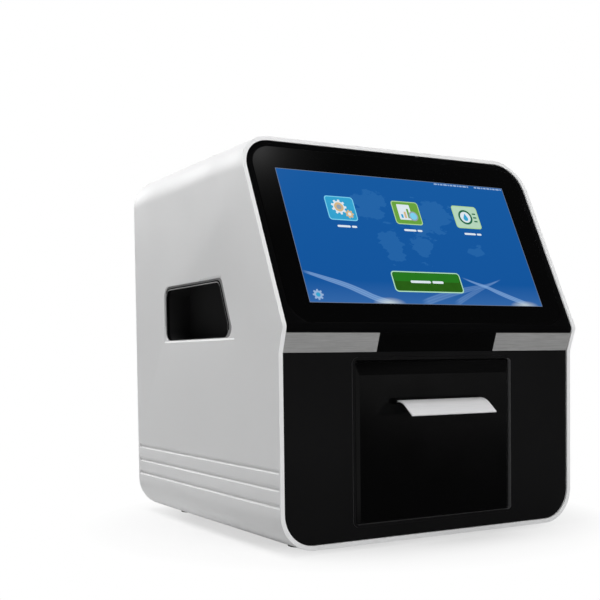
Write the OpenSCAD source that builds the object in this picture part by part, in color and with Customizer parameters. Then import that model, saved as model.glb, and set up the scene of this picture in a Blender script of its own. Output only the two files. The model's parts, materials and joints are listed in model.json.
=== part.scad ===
// Benchtop chemistry analyzer with a leaning touch screen and a pull-out disc drawer.
// Millimetres, +Z up, front towards -Y, origin on the table under the middle of the whole.

/* [Case] */
// Width of the outer sleeve
case_w = 260; // [250:1:300]
// Depth of the sleeve from the lower front panel to the rear edge
case_d = 265; // [262:1:320]
// Height of the sleeve without the feet
case_h = 290; // [285:1:320]
// Wall thickness of the sleeve, which shows as the bright rim at the front
case_wall = 3.2; // [2.6:0.1:4]
// Radius of the four long edges of the sleeve
case_edge_r = 26; // [20:1:30]
// How far the front rim stands proud of the panels
rim_proud = 1.2; // [0.6:0.1:2]
// Height of the feet below the sleeve
foot_h = 3; // [2:0.5:6]
// Diameter of a rubber foot
foot_d = 18; // [14:1:22]
// Distance of the foot centres from the sides and from the ends
foot_inset = 35; // [30:1:50]

/* [Side grips and grooves] */
// Height of the lower edge of a grip above the case bottom
grip_z = 146; // [144:0.5:152]
// Height of a grip opening
grip_h = 44.5; // [38:0.5:46]
// Length of a grip opening along its lower edge
grip_len = 130; // [110:1:140]
// Distance from the front plane to the lower front corner of a grip
grip_front = 68; // [60:1:80]
// Corner radius of a grip opening
grip_r = 8; // [5:0.5:10]
// Width and depth of the bevel round a grip opening
grip_bevel = 1.2; // [0.6:0.1:1.8]
// Width of the flat ledge between that bevel and the opening
grip_ledge = 0.4; // [0.2:0.1:0.8]
// How far the front edge of a grip leans back over its height
grip_slant = 20; // [10:1:25]
// Depth of a grip pocket
grip_depth = 22; // [16:1:24]
// Number of grooves along each side
groove_count = 3; // [2:1:4]
// Height of the lowest groove above the case bottom
groove_z = 31.5; // [30:0.5:40]
// Spacing of the grooves
groove_pitch = 11.7; // [8:0.1:13]
// Width of a groove
groove_w = 3.6; // [2.5:0.1:5]
// Depth of a groove
groove_depth = 1; // [0.5:0.1:1.4]

/* [Front face] */
// Height of the ridge between the two front faces
ridge_h = 151.5; // [150:0.5:156]
// How far the ridge stands forward of the lower panel
ridge_reach = 6.2; // [4:0.1:9]
// Height of the chamfered band below the ridge
band_h = 17.5; // [14:0.5:20]
// Rounding radius of the ridge
ridge_r = 5; // [3:0.5:6]
// Lean of the screen face from the vertical
screen_lean = 25.75; // [20:0.25:28]
// Thickness of the lower front panel
panel_t = 4; // [3:0.5:5]
// Depth of the screen frame, square to the screen
bezel_t = 10; // [9:0.5:12]
// Thickness of the touch glass
glass_t = 2; // [1.5:0.1:3]
// Width of the black border between the sleeve and the glass
glass_border = 5.3; // [4:0.1:8]
// Corner radius of the glass
glass_r = 18; // [14:1:20]
// Distance from each side of the glass to the display module
lcd_side = 9.5; // [8:0.5:20]
// Distance from the top of the glass to the display module
lcd_over = 12.7; // [12:0.1:22]
// Distance along the screen face from the ridge to the display module
lcd_s = 12; // [10:1:14]
// Width of the bare plate between the two trim strips
badge_w = 104; // [80:1:120]
// Width of the trim strips, up the chamfered band
strip_w = 14.2; // [10:0.1:14.4]
// Thickness of the trim strips and the bare plate
strip_t = 1; // [0.6:0.1:1.5]

/* [Drawer] */
// Width of the drawer opening
door_w = 140; // [140:1:150]
// Height of the drawer opening
door_h = 114.5; // [110:0.5:116]
// Height of the lower edge of the drawer opening above the case bottom
door_z = 14; // [12:0.5:14]
// Running gap round the drawer front
door_gap = 0.5; // [0.4:0.1:1]
// Thickness of the drawer front
door_t = 5; // [4:0.5:6]
// Width of the slope along the top of the drawer front
door_top_slope = 10; // [6:0.5:12]
// Width of the slope along the sides of the drawer front
door_side_slope = 3.5; // [2:0.5:5]
// Setback of the edges of the drawer front
door_setback = 2.5; // [1.5:0.1:3]
// Wall thickness of the liner round the opening
liner_t = 2; // [1.5:0.1:3]
// Depth of the liner
liner_d = 14; // [12:0.5:16]
// Width of the pull lip
lip_w = 74.8; // [60:0.1:90]
// Height of the top of the pull lip above the case bottom
lip_z = 100; // [96:0.5:104]
// Sheet thickness of the pull lip
lip_t = 1.2; // [0.8:0.1:2]
// Radius of the curve of the pull lip
lip_r = 15; // [12:0.5:18]
// Slope of the straight end of the pull lip
lip_slope = 38; // [30:1:45]
// Length of the straight end of the pull lip
lip_end = 10.5; // [8:0.5:14]
// Reach of the black bar that holds the lip
lip_bar = 4.7; // [4:0.1:6]
// Travel of the drawer
travel = 120; // [118:1:122]
// Width of a drawer bar
slide_w = 10.2; // [8:0.1:11]
// Height of the top of the tray above the case bottom
tray_top = 62; // [60:0.5:64]
// Height of the sides of the tray
tray_h = 26; // [25:0.5:27]
// Wall thickness of the tray
tray_t = 2.5; // [2:0.1:3]
// Distance from the front plane to the disc axis when the drawer is shut
disc_y = 78; // [76:1:80]
// Inner diameter of the disc well
well_d = 86; // [84:1:92]
// Depth of the disc well
well_depth = 13; // [12.5:0.5:14]
// Diameter of the turntable that carries a disc
turntable_d = 64; // [50:1:70]
// Diameter of the spindle shaft
spindle_d = 5; // [4:0.5:6]
// Running clearance on the radius of a shaft
shaft_gap = 0.05; // [0.02:0.01:0.08]
// Sliding clearance round a drawer bar
slide_gap = 0.3; // [0.2:0.05:0.5]
// Module of the drawer rack and its pinion
gear_module = 1; // [0.8:0.1:1]
// Number of teeth on the pinion
pinion_teeth = 16; // [16:1:18]

/* [Rear] */
// Height of the fan axis above the case bottom
fan_z = 206; // [204:1:212]
// Side of the square fan frame
fan_size = 80; // [60:1:80]
// Depth of the fan frame
fan_d = 15; // [12:1:20]
// Number of fan blades
fan_blades = 7; // [5:1:9]
// Half of the rocker's tilt
rocker_tilt = 8; // [6:1:10]

/* [Hidden] */
$fn = 64;

// Small clearances and cutting overshoot
fit = 0.2;
seat_gap = 0.02;
over = 1;

// The whole depth runs from the tip of the pull lip to the rear edge of the sleeve
lip_root = lip_bar + 0.3;
lip_reach = lip_root + lip_r * sin(lip_slope) + lip_end * cos(lip_slope);
front_y = (lip_reach - case_d) / 2;

// Inside of the sleeve
cave_w = case_w - 2 * case_wall;
cave_r = case_edge_r - case_wall;

// Front line: the chamfered band runs forward to the ridge, the screen face leans back from it
band_lean = atan(ridge_reach / band_h);
band_foot = ridge_h - band_h;
ridge_turn = (band_lean + screen_lean) / 2;
ridge_mid = 180 + (band_lean - screen_lean) / 2;
ridge_centre = [-ridge_reach, ridge_h] - ridge_r / cos(ridge_turn) * [cos(ridge_mid), sin(ridge_mid)];
ridge_steps = 8;
ridge_arc = [for (i = [0 : ridge_steps])
    let (a = 180 + band_lean - 2 * ridge_turn * i / ridge_steps)
        ridge_centre + ridge_r * [cos(a), sin(a)]];
function screen_y(z) = -ridge_reach + (z - ridge_h) * tan(screen_lean);
function screen_point(s, lift) = [
    -ridge_reach + s * sin(screen_lean) - lift * cos(screen_lean),
    ridge_h + s * cos(screen_lean) + lift * sin(screen_lean)];

// The lower panel and the screen frame meet on this height, along the top of the trim strips
split_z = band_foot + (strip_w + 0.4) * cos(band_lean);
split_y = -(split_z - band_foot) * tan(band_lean);
cave_top = case_h - case_wall;

// Glass and display, measured along the screen face from the ridge
glass_w = cave_w - 2 * glass_border;
glass_s = ridge_r * tan(ridge_turn) + 0.6;
face_s = (cave_top - ridge_h) / cos(screen_lean);
glass_h = face_s - glass_s - glass_border + 0.8;
lcd_w = glass_w - 2 * lcd_side;
lcd_h = glass_s + glass_h - lcd_over - lcd_s;
bracket_t = 1.2;
bracket_s = -bezel_t - bracket_t - seat_gap;
bracket_w = lcd_w + 12;
bracket_h = lcd_h + 12;
ribbon_s = lcd_s + 18;
ribbon_plug = 5;

// Sheet metal inside
sheet_t = 1.5;
chassis_z = 7;
deck_z = 136;
leg_inset = 28.8;
leg_x = cave_w / 2 - leg_inset;
leg_flange = 12;
leg_front = 45;
leg_rear = 225;
chassis_top = chassis_z + sheet_t;
chassis_w = 2 * (leg_x + leg_flange + 2);
deck_top = deck_z + sheet_t;

// Drawer mechanism
tray_bottom = tray_top - tray_h;
tray_front = door_t;
slide_z = tray_bottom + 11;
slide_h = 11.4;
slide_start = tray_front + 4;
channel_wall = 1.8;
channel_front = liner_d + 1.5;
// Length of bar that stays in its channel when the drawer is out
slide_hold = 29.5;
slide_len = travel + channel_front + slide_hold - slide_start;
channel_len = slide_start + slide_len + 14.5 - channel_front;
tray_len = slide_start + slide_len - 5 - tray_front;
channel_out = door_w / 2 + 0.3;
tray_w = 2 * (channel_out - channel_wall - slide_gap - slide_w);
channel_in = tray_w / 2 + 3.5;
bracket_front = channel_front + 4.5;
bracket_len = channel_len - 9;
pinion_y = 30;
rack_w = 6;
rack_t = 3.5;
rack_front = tray_front + 7;
rack_len = travel + pinion_y + 12 - rack_front;
pitch_r = gear_module * pinion_teeth / 2;
pitch_step = PI * gear_module;
rack_pitch_z = tray_bottom - rack_t - gear_module * 0.25;
pinion_z = rack_pitch_z - pitch_r;
pinion_x = -tray_w / 2 + 1 + rack_w / 2;
motor_shaft_d = 4;
motor_d = 24;
motor_len = 22;
spindle_motor_d = 34;
spindle_motor_h = 22;
well_floor = tray_top - well_depth;
floor_t = 3;
bearing_d = 16;
table_z = well_floor + 2;
spindle_reach = 16;
table_t = 2.5;
hub_h = 2.5;
beam_r = 34;

// Optics over and under the disc
plate_z = tray_top + 12;
plate_t = 3;
beam_y = disc_y + beam_r;
post_x = 48;
post_y = 42;
block_z = plate_z + 6;
incubator_w = 110;
incubator_d = 100;
optics_w = 52;
optics_d = 40;
lens_d = 12;
lamp_z = block_z + 26;
lamp_d = 22;
lamp_len = 32;
lamp_fin_d = 34;
lamp_y = beam_y + optics_d / 2;
detector_z = 24;

// Electronics
board_lift = 6;
board_t = 1.6;
board_front = 100;
board_rear = case_d - 9;
board_w = 2 * (leg_x - 8);
board_z = deck_top + board_lift;
board_top = board_z + board_t;
board_edge = 6;
board_screw_len = 5;
cooler_x = -20;
cooler_w = 36;
cooler_t = 3;
cooler_fins = 7;

// Rear panel and what it carries
rear_t = 2.5;
rear_y = case_d - 4;
rear_in = rear_y - rear_t;
boss_w = 14;
boss_z = [66, 226];
panel_boss_z = [34, 126];
front_screw_len = 18;
vent_x = leg_x - 24;
vent_w = 32;
vent_z = 86;
inlet_x = -70;
inlet_z = 34;
switch_x = -22;
rocker_y = rear_y - 1.5;
rocker_r = 10.8;
switch_z = 34;
fan_hole_r = fan_size / 2 - 3;
fan_pitch = fan_size / 2 - 4.5;
fan_screw_len = 14;
usb_x = board_w / 2 - 26;
lan_x = usb_x - 24;
supply_w = 60;
supply_d = 70;
supply_h = 36;
supply_x = leg_x - 8 - supply_w;
supply_y = rear_in - 4.5 - supply_d;
supply_z = deck_z - supply_h;
lead_d = 6;
lead_x = supply_x + supply_w / 2;
lead_y = rear_y - 34;
inlet_d = 22;

screw_d = 3;

// Round-cornered outline centred on X, standing on Y = 0
module rounded_rect(w, h, r) {
    translate([-w / 2 + r, 0]) square([w - 2 * r, h]);
    translate([-w / 2, r]) square([w, h - 2 * r]);
    for (x = [-w / 2 + r, w / 2 - r], y = [r, h - r]) translate([x, y]) circle(r);
}

// The front plane of the lower panel and the underside of the sleeve as zero
module at_front() translate([0, front_y, foot_h]) children();

// An outline in X and Z, drawn back from y0 to y1
module along_y(y0, y1) translate([0, y1, 0]) rotate([90, 0, 0]) linear_extrude(y1 - y0) children();

// An outline in Y and Z, drawn across X about the middle
module along_x(w) rotate([90, 0, 90]) linear_extrude(w, center = true) children();

// Screen face: Y runs up the face from the ridge, Z stands out of it
module on_screen() translate([0, -ridge_reach, ridge_h]) rotate([90 - screen_lean, 0, 0]) children();

// Chamfered band: Y runs up the band from its foot, Z stands out of it
module on_band() translate([0, 0, band_foot]) rotate([90 + band_lean, 0, 0]) children();

// A bar along X
module rod_x(x0, x1, d) translate([x0, 0, 0]) rotate([0, 90, 0]) cylinder(d = d, h = x1 - x0);

// A bar along Y
module rod_y(y0, y1, d) translate([0, y1, 0]) rotate([90, 0, 0]) cylinder(d = d, h = y1 - y0);

// A pan-head screw whose shank runs down from z = 0
module screw(d, length) {
    translate([0, 0, -length]) cylinder(d = d, h = length + 0.01);
    difference() {
        cylinder(d = 2 * d, h = 0.6 * d);
        translate([0, 0, 0.3 * d]) cylinder(d = 1.1 * d, h = d, $fn = 6);
    }
}

module both_sides() {
    children();
    mirror([1, 0, 0]) children();
}

// Outer sleeve
module side_profile() {
    polygon(concat([[-rim_proud, 0], [-rim_proud, band_foot]],
        [for (p = ridge_arc) p - [rim_proud, 0]],
        [[screen_y(case_h) - rim_proud, case_h], [case_d, case_h], [case_d, 0]]));
}

// The outward normal of an edge that runs counterclockwise from a to b
function edge_out(a, b) = [b.y - a.y, a.x - b.x] / norm(b - a);

// The rounded outline of a grip opening, in Y and Z
module grip_outline(grow) {
    corners = [[grip_front, grip_z], [grip_front + grip_len, grip_z],
        [grip_front + grip_len, grip_z + grip_h], [grip_front + grip_slant, grip_z + grip_h]];
    out = [for (i = [0 : 3]) edge_out(corners[i], corners[(i + 1) % 4])];
    mid = [for (i = [0 : 3]) let (a = out[(i + 3) % 4], b = out[i])
        corners[i] - grip_r * (a + b) / (1 + a * b)];
    polygon([for (i = [0 : 3]) each [mid[i] + (grip_r + grow) * out[(i + 3) % 4],
        mid[i] + (grip_r + grow) * out[i]]]);
    for (m = mid) translate(m) circle(grip_r + grow);
}

// The sunk frame with sharp corners that bevels a grip opening in the right side
module grip_frame() {
    inner = case_w / 2 - grip_bevel;
    outer = case_w / 2 + over;
    wide = grip_ledge + grip_bevel + over;
    rear = grip_front + grip_len;
    top = grip_z + grip_h;
    intersection() {
        along_y(grip_front - 10, rear + 10)
            polygon([[inner, grip_z - grip_ledge], [outer, grip_z - wide], [outer, top + wide],
                [inner, top + grip_ledge]]);
        translate([0, 0, grip_z - 10]) linear_extrude(grip_h + 20)
            polygon([[inner, rear + grip_ledge], [outer, rear + wide], [outer, grip_front - 20],
                [inner, grip_front - 20]]);
        translate([0, grip_front, grip_z]) rotate([-atan(grip_slant / grip_h), 0, 0])
            translate([0, 0, -20]) linear_extrude(grip_h + 40)
                polygon([[inner, -grip_ledge], [outer, -wide], [outer, grip_len + 20],
                    [inner, grip_len + 20]]);
    }
}

module side_groove(z) {
    high = groove_w / 2;
    translate([case_w / 2, 0, z]) along_y(0.5, case_d - 3)
        polygon([[over, high], [0, high], [-groove_depth, high - 0.3],
            [-groove_depth, groove_depth - high], [0, -high], [over, -high]]);
}

module sleeve_boss(y, z) {
    translate([cave_w / 2 - boss_w, y, z - 6]) cube([boss_w + 0.5, 16, 12]);
}

module outer_case() {
    color("gainsboro") at_front() difference() {
        union() {
            difference() {
                intersection() {
                    along_y(-ridge_reach - 2 * rim_proud - 2, case_d)
                        rounded_rect(case_w, case_h, case_edge_r);
                    along_x(case_w + 2) side_profile();
                }
                translate([0, 0, case_wall]) along_y(-ridge_reach - 10, case_d + over)
                    rounded_rect(cave_w, cave_top - case_wall, cave_r);
            }
            both_sides() {
                for (z = boss_z) sleeve_boss(rear_in - 16, z);
                for (z = panel_boss_z) sleeve_boss(panel_t, z);
                for (y = [foot_inset, case_d - foot_inset])
                    translate([case_w / 2 - foot_inset, y, case_wall - 0.5])
                        cylinder(d = 14, h = chassis_z - case_wall + 0.5);
            }
        }
        both_sides() {
            grip_frame();
            translate([case_w / 2, 0, 0]) along_x(4 * case_wall) grip_outline(0);
            for (i = [0 : groove_count - 1]) side_groove(groove_z + i * groove_pitch);
            for (y = [foot_inset, case_d - foot_inset])
                translate([case_w / 2 - foot_inset, y, -over]) cylinder(d = 4.2, h = chassis_z + 2);
            for (z = boss_z)
                translate([cave_w / 2 - boss_w / 2, 0, z]) rod_y(rear_in - 12, rear_in + over, 2.6);
            for (z = panel_boss_z)
                translate([cave_w / 2 - boss_w / 2, 0, z]) rod_y(panel_t - over, panel_t + 17, 2.6);
        }
        for (x = [-50 : 10 : 50]) translate([x - 1.5, case_d / 2 - 30, -over]) cube([3, 60, 8]);
    }
}

module grip_pocket_right() {
    wall = 2;
    color([0.07, 0.07, 0.07]) at_front() difference() {
        union() {
            translate([cave_w / 2 - 1.5, 0, 0]) along_x(3) grip_outline(5);
            translate([cave_w / 2 - grip_depth / 2, 0, 0]) along_x(grip_depth) grip_outline(wall);
        }
        translate([cave_w / 2 - grip_depth / 2 + wall, 0, 0])
            along_x(grip_depth) grip_outline(0);
    }
}

module grip_pocket_left() mirror([1, 0, 0]) grip_pocket_right();

// Rear cover
module rear_panel() {
    color("lightgray") at_front() difference() {
        translate([0, 0, case_wall + fit]) along_y(rear_in, rear_y)
            rounded_rect(cave_w - 2 * fit, cave_top - case_wall - 2 * fit, cave_r - fit);
        along_y(rear_in - over, rear_y + over) {
            translate([0, fan_z]) circle(fan_hole_r);
            for (x = [-fan_pitch, fan_pitch], z = [-fan_pitch, fan_pitch])
                translate([x, fan_z + z]) circle(d = 3.4);
            translate([inlet_x, inlet_z]) square([27.4, 19.4], center = true);
            translate([switch_x, switch_z]) square([14.4, 26.4], center = true);
            translate([usb_x, board_top + 8]) square([16.4, 16.6], center = true);
            translate([lan_x, board_top + 7]) square([16.4, 14.6], center = true);
            for (x = [-1, 1], z = boss_z)
                translate([x * (cave_w / 2 - boss_w / 2), z]) circle(d = 3.4);
            for (side = [-1, 1], i = [0 : 8])
                translate([side * vent_x - vent_w / 2, vent_z + 6 * i]) square([vent_w, 3]);
            for (x = [0 : 8 : vent_w]) translate([vent_x - vent_w / 2 + x, 18]) square([3, 26]);
        }
    }
}

module rear_screws() {
    color("dimgray") at_front() for (x = [-1, 1], z = boss_z)
        translate([x * (cave_w / 2 - boss_w / 2), rear_y, z]) rotate([-90, 0, 0])
            screw(2.5, 11);
}

// Lower front panel with the chamfered band
module front_panel() {
    color([0.09, 0.09, 0.09]) at_front() difference() {
        intersection() {
            translate([0, 0, case_wall + fit]) along_y(-ridge_reach - over, panel_t)
                rounded_rect(cave_w - 2 * fit, case_h, cave_r - fit);
            along_x(case_w) polygon([[0, 0], [0, band_foot], [split_y, split_z],
                [panel_t, split_z], [panel_t, 0]]);
        }
        translate([0, 0, door_z - liner_t - fit / 2]) along_y(-over, panel_t + over)
            rounded_rect(door_w + 2 * liner_t + fit, door_h + 2 * liner_t + fit, liner_t + 3);
        on_band() translate([-case_w / 2, 0.2, -strip_t / 2]) cube([case_w, strip_w + over, 3]);
        both_sides() for (z = panel_boss_z)
            translate([cave_w / 2 - boss_w / 2, 0, z]) rod_y(1.5, panel_t + over, 2.6);
    }
}

module front_screws() {
    color("dimgray") at_front() both_sides() for (z = panel_boss_z)
        translate([cave_w / 2 - boss_w / 2, panel_t + 16, z]) rotate([-90, 0, 0])
            screw(2.5, front_screw_len);
}

module trim_strip_right() {
    length = (cave_w - badge_w) / 2 - fit;
    color([0.55, 0.55, 0.54]) at_front() on_band()
        translate([badge_w / 2, 0.2 + fit / 2, -strip_t / 2]) cube([length, strip_w - fit, strip_t]);
}

module trim_strip_left() mirror([1, 0, 0]) trim_strip_right();

module badge_plate() {
    w = badge_w - 2 * fit;
    color([0.03, 0.03, 0.03]) at_front() on_band()
        translate([-w / 2, 0.2 + fit / 2, -strip_t / 2]) cube([w, strip_w - fit, strip_t]);
}

// Screen frame
module screen_slab() {
    back = bezel_t / cos(screen_lean);
    polygon(concat([[split_y, split_z]], ridge_arc,
        [[screen_y(cave_top), cave_top], [screen_y(cave_top) + back, cave_top],
            [screen_y(split_z) + back, split_z]]));
}

module display_screw_places() {
    for (x = [-bracket_w / 2 + 3, bracket_w / 2 - 3], s = [lcd_s, lcd_s + lcd_h])
        translate([x, s, -bezel_t]) children();
}

module front_bezel() {
    color([0.05, 0.05, 0.05]) at_front() difference() {
        intersection() {
            translate([0, 0, case_wall + fit]) along_y(-ridge_reach - over, case_d)
                rounded_rect(cave_w - 2 * fit, cave_top - case_wall - 2 * fit, cave_r - fit);
            along_x(case_w) screen_slab();
        }
        on_screen() {
            translate([0, glass_s - fit, -glass_t]) linear_extrude(glass_t + 2)
                rounded_rect(glass_w + 2 * fit, glass_h + 2 * fit, glass_r + fit);
            translate([-lcd_w / 2 - fit, lcd_s - fit, -2 * bezel_t])
                cube([lcd_w + 2 * fit, lcd_h + 2 * fit, 3 * bezel_t]);
            display_screw_places() cylinder(d = 2.2, h = 6);
        }
    }
}

module screen_glass() {
    color([0.02, 0.03, 0.05]) at_front() on_screen() translate([0, glass_s, -glass_t])
        linear_extrude(glass_t) rounded_rect(glass_w, glass_h, glass_r);
}

module lcd_module() {
    color([0.07, 0.35, 0.63]) at_front() on_screen()
        translate([-lcd_w / 2, lcd_s, -bezel_t]) cube([lcd_w, lcd_h, bezel_t - glass_t]);
}

module display_bracket() {
    color("silver") at_front() on_screen() difference() {
        union() {
            translate([-bracket_w / 2, lcd_s - 6, bracket_s])
                cube([bracket_w, bracket_h, bracket_t]);
            translate([-18, ribbon_s - 4, bracket_s - ribbon_plug])
                cube([36, 8, ribbon_plug + 0.5]);
        }
        display_screw_places() translate([0, 0, -5]) cylinder(d = 2.4, h = 8);
    }
}

module display_screws() {
    color("dimgray") at_front() on_screen() display_screw_places()
        translate([0, 0, -bracket_t - seat_gap]) mirror([0, 0, 1]) screw(2, 6);
}

module display_ribbon() {
    start = screen_point(ribbon_s, bracket_s - ribbon_plug);
    away = [cos(screen_lean), -sin(screen_lean)];
    t = 0.6;
    turn = start + 12 * away;
    drop = [board_front - 22, board_top + 6];
    last = [board_front, board_top + 2.2];
    up = [sin(screen_lean), cos(screen_lean)] * t;
    color("white") at_front() along_x(30) polygon([start, turn, drop, last,
        last + [0, t], drop + [1, t], turn + up + [0.3, 0], start + up]);
}

// Liner and seal of the drawer opening
module door_frame() {
    color([0.2, 0.2, 0.2]) at_front() difference() {
        translate([0, 0, door_z - liner_t]) along_y(-0.3, liner_d)
            rounded_rect(door_w + 2 * liner_t, door_h + 2 * liner_t, liner_t + 2.8);
        translate([0, 0, door_z]) along_y(-over, liner_d + over) rounded_rect(door_w, door_h, 2.5);
    }
}

module light_seal() {
    color([0.12, 0.12, 0.12]) at_front() difference() {
        translate([0, 0, door_z]) along_y(door_t + 0.3, door_t + 2.8)
            rounded_rect(door_w, door_h, 2.5);
        translate([0, 0, door_z + 1.3]) along_y(door_t - over, door_t + 5)
            rounded_rect(door_w - 2.6, door_h - 2.6, 1.5);
    }
}

// Drawer front and its pull lip
module drawer_front() {
    w = door_w - 2 * door_gap;
    h = door_h - 2 * door_gap;
    bottom = door_z + door_gap;
    slope_x = w / 2 - door_side_slope;
    color([0.04, 0.04, 0.045]) at_front() difference() {
        intersection() {
            translate([0, 0, bottom]) along_y(0, door_t) rounded_rect(w, h, 2.2);
            translate([0, 0, bottom - over]) linear_extrude(h + 2 * over)
                polygon([[-w / 2, door_setback], [-slope_x, 0], [slope_x, 0],
                    [w / 2, door_setback], [w / 2, door_t], [-w / 2, door_t]]);
            along_x(w) polygon([[0.6, bottom], [0, bottom + 1], [0, bottom + h - door_top_slope],
                [door_setback, bottom + h], [door_t, bottom + h], [door_t, bottom]]);
        }
        for (x = [-lip_w / 2 + 10, lip_w / 2 - 10])
            translate([x, 0, lip_z - lip_t / 2]) rod_y(-over, door_t + over, screw_d + 0.2);
        for (x = [-40, 40], z = [tray_top + 10, tray_bottom + 16])
            translate([x, 0, z]) rod_y(1.5, door_t + over, 2.6);
    }
}

module handle_base() {
    color([0.05, 0.05, 0.05]) at_front() difference() {
        along_x(lip_w + 2) polygon([[-lip_bar, lip_z - lip_t - 0.9], [-lip_bar, lip_z + 0.9],
            [0, lip_z + 1.6], [0, lip_z - lip_t - 1.6]]);
        translate([-lip_w / 2 - fit, -lip_bar - over, lip_z - lip_t - 0.03])
            cube([lip_w + 2 * fit, lip_bar + over - 1, lip_t + 0.06]);
        for (x = [-lip_w / 2 + 10, lip_w / 2 - 10])
            translate([x, 0, lip_z - lip_t / 2]) rod_y(-1, over, screw_d + 0.2);
    }
}

// The lip runs straight out of its bar, curves down, and ends straight
function lip_line(r) = [for (i = [0 : 12]) let (a = lip_slope * i / 12)
    [-lip_root - r * sin(a), lip_z - lip_r + r * cos(a)]];

module drawer_handle() {
    outer = lip_line(lip_r);
    inner = lip_line(lip_r - lip_t);
    run = lip_end * [-cos(lip_slope), -sin(lip_slope)];
    color([0.82, 0.82, 0.82]) at_front()
        along_x(lip_w) polygon(concat([[-1.1, lip_z]], outer, [outer[12] + run, inner[12] + run],
            [for (i = [12 : -1 : 0]) inner[i]], [[-1.1, lip_z - lip_t]]));
}

module handle_screws() {
    color("dimgray") at_front() for (x = [-lip_w / 2 + 10, lip_w / 2 - 10])
        translate([x, door_t, lip_z - lip_t / 2]) rotate([-90, 0, 0]) screw(screw_d, door_t + 0.9);
}

// Drawer tray with the disc well
module drawer_tray() {
    color([0.25, 0.25, 0.27]) at_front() difference() {
        union() {
            difference() {
                translate([-tray_w / 2, tray_front, tray_bottom]) cube([tray_w, tray_len, tray_h]);
                translate([-tray_w / 2 + tray_t, tray_front + tray_t, tray_bottom - over])
                    cube([tray_w - 2 * tray_t, tray_len - 2 * tray_t, tray_h + over - floor_t]);
            }
            translate([-tray_w / 2, tray_front, tray_top - over]) cube([tray_w, 3, 20]);
            translate([0, disc_y, well_floor - floor_t])
                cylinder(d = well_d + 6, h = well_depth + floor_t - over);
        }
        translate([0, disc_y, well_floor]) cylinder(d = well_d, h = well_depth + over);
        translate([0, disc_y, well_floor - 2 * floor_t]) cylinder(d = bearing_d, h = 4 * floor_t);
        translate([-3, beam_y - 4, well_floor - 2 * floor_t]) cube([6, 8, 4 * floor_t]);
        for (a = [45 : 90 : 315])
            translate([13 * cos(a), disc_y + 13 * sin(a), well_floor - 2 * floor_t])
                cylinder(d = 2.6, h = 4 * floor_t);
        for (x = [-40, 40], z = [tray_top + 10, tray_bottom + 16])
            translate([x, 0, z]) rod_y(tray_front - over, tray_front + 4, 2.8);
    }
}

module tray_screws() {
    color("dimgray") at_front() {
        for (x = [-40, 40])
            translate([x, tray_front + 3, tray_top + 10]) rotate([-90, 0, 0]) screw(2.5, 6);
        for (x = [-40, 40])
            translate([x, tray_front + tray_t, tray_bottom + 16]) rotate([-90, 0, 0])
                screw(2.5, 5.5);
    }
}

module drawer_slides() {
    color("silver") at_front() both_sides()
        translate([tray_w / 2, slide_start, slide_z - slide_h / 2])
            cube([slide_w, slide_len, slide_h]);
}

module rail_channels() {
    cavity = slide_h + 2 * slide_gap;
    height = cavity + 2 * channel_wall;
    color("darkgray") at_front() both_sides() difference() {
        translate([channel_in, channel_front, slide_z - height / 2])
            cube([channel_out - channel_in, channel_len, height]);
        translate([channel_in - over, channel_front - over, slide_z - cavity / 2])
            cube([channel_out - channel_wall - channel_in + over, channel_len + 2 * over, cavity]);
    }
}

module rail_brackets() {
    height = slide_z + slide_h / 2 + 2 - chassis_top;
    color("silver") at_front() difference() {
        both_sides() {
            translate([channel_out, bracket_front, chassis_top]) cube([sheet_t, bracket_len, height]);
            translate([channel_out, bracket_front, chassis_top])
                cube([leg_flange, bracket_len, sheet_t]);
        }
        both_sides() translate([0, pinion_y, pinion_z])
            rod_x(channel_out - over, channel_out + 3, motor_shaft_d + 2);
        for (y = [70, 120]) translate([-leg_x, y, chassis_top + 10]) cube([2 * leg_x, 30, 14]);
    }
}

// Rack and pinion that drive the drawer
module rack_tooth() {
    m = gear_module;
    top = pitch_step / 4 - m * tan(20) - 0.08;
    root = pitch_step / 4 + 1.25 * m * tan(20) - 0.08;
    polygon([[-root, 1.25 * m], [-top, -m], [top, -m], [root, 1.25 * m]]);
}

module drawer_rack() {
    count = floor(rack_len / pitch_step) - 1;
    first = ceil((rack_front - pinion_y) / pitch_step);
    color("ivory") at_front() translate([pinion_x, 0, 0]) {
        translate([-rack_w / 2, rack_front, rack_pitch_z + 1.24 * gear_module])
            cube([rack_w, rack_len, tray_bottom - rack_pitch_z - 1.24 * gear_module]);
        along_x(rack_w) for (i = [first + 1 : first + count - 1])
            translate([pinion_y + (i + 0.5) * pitch_step, rack_pitch_z]) rack_tooth();
    }
}

module pinion_outline() {
    m = gear_module;
    root_r = pitch_r - 1.2 * m;
    tip_r = pitch_r + 0.95 * m;
    circle(root_r);
    for (i = [0 : pinion_teeth - 1]) rotate(90 + 360 * i / pinion_teeth)
        polygon([[root_r - 0.5, -1.12 * m], [root_r, -1.0 * m], [pitch_r, -0.68 * m],
            [tip_r, -0.26 * m], [tip_r, 0.26 * m], [pitch_r, 0.68 * m], [root_r, 1.0 * m],
            [root_r - 0.5, 1.12 * m]]);
}

module drive_pinion() {
    color("ivory") at_front() translate([pinion_x, pinion_y, pinion_z]) {
        along_x(rack_w - 1) pinion_outline();
        rod_x(-channel_out - sheet_t - 5 - pinion_x, 0, motor_shaft_d);
    }
}

module drive_motor() {
    face = -channel_out - sheet_t;
    color([0.3, 0.3, 0.32]) at_front() translate([0, pinion_y, pinion_z]) difference() {
        union() {
            rod_x(face - motor_len, face, motor_d);
            translate([face - 4, -motor_d / 2, -motor_d / 2]) cube([4, motor_d, motor_d]);
            rod_x(face - motor_len - 2, face - motor_len + 1, motor_d / 2);
        }
        rod_x(face - 7, face + over, motor_shaft_d + 2 * shaft_gap);
    }
}

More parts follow.
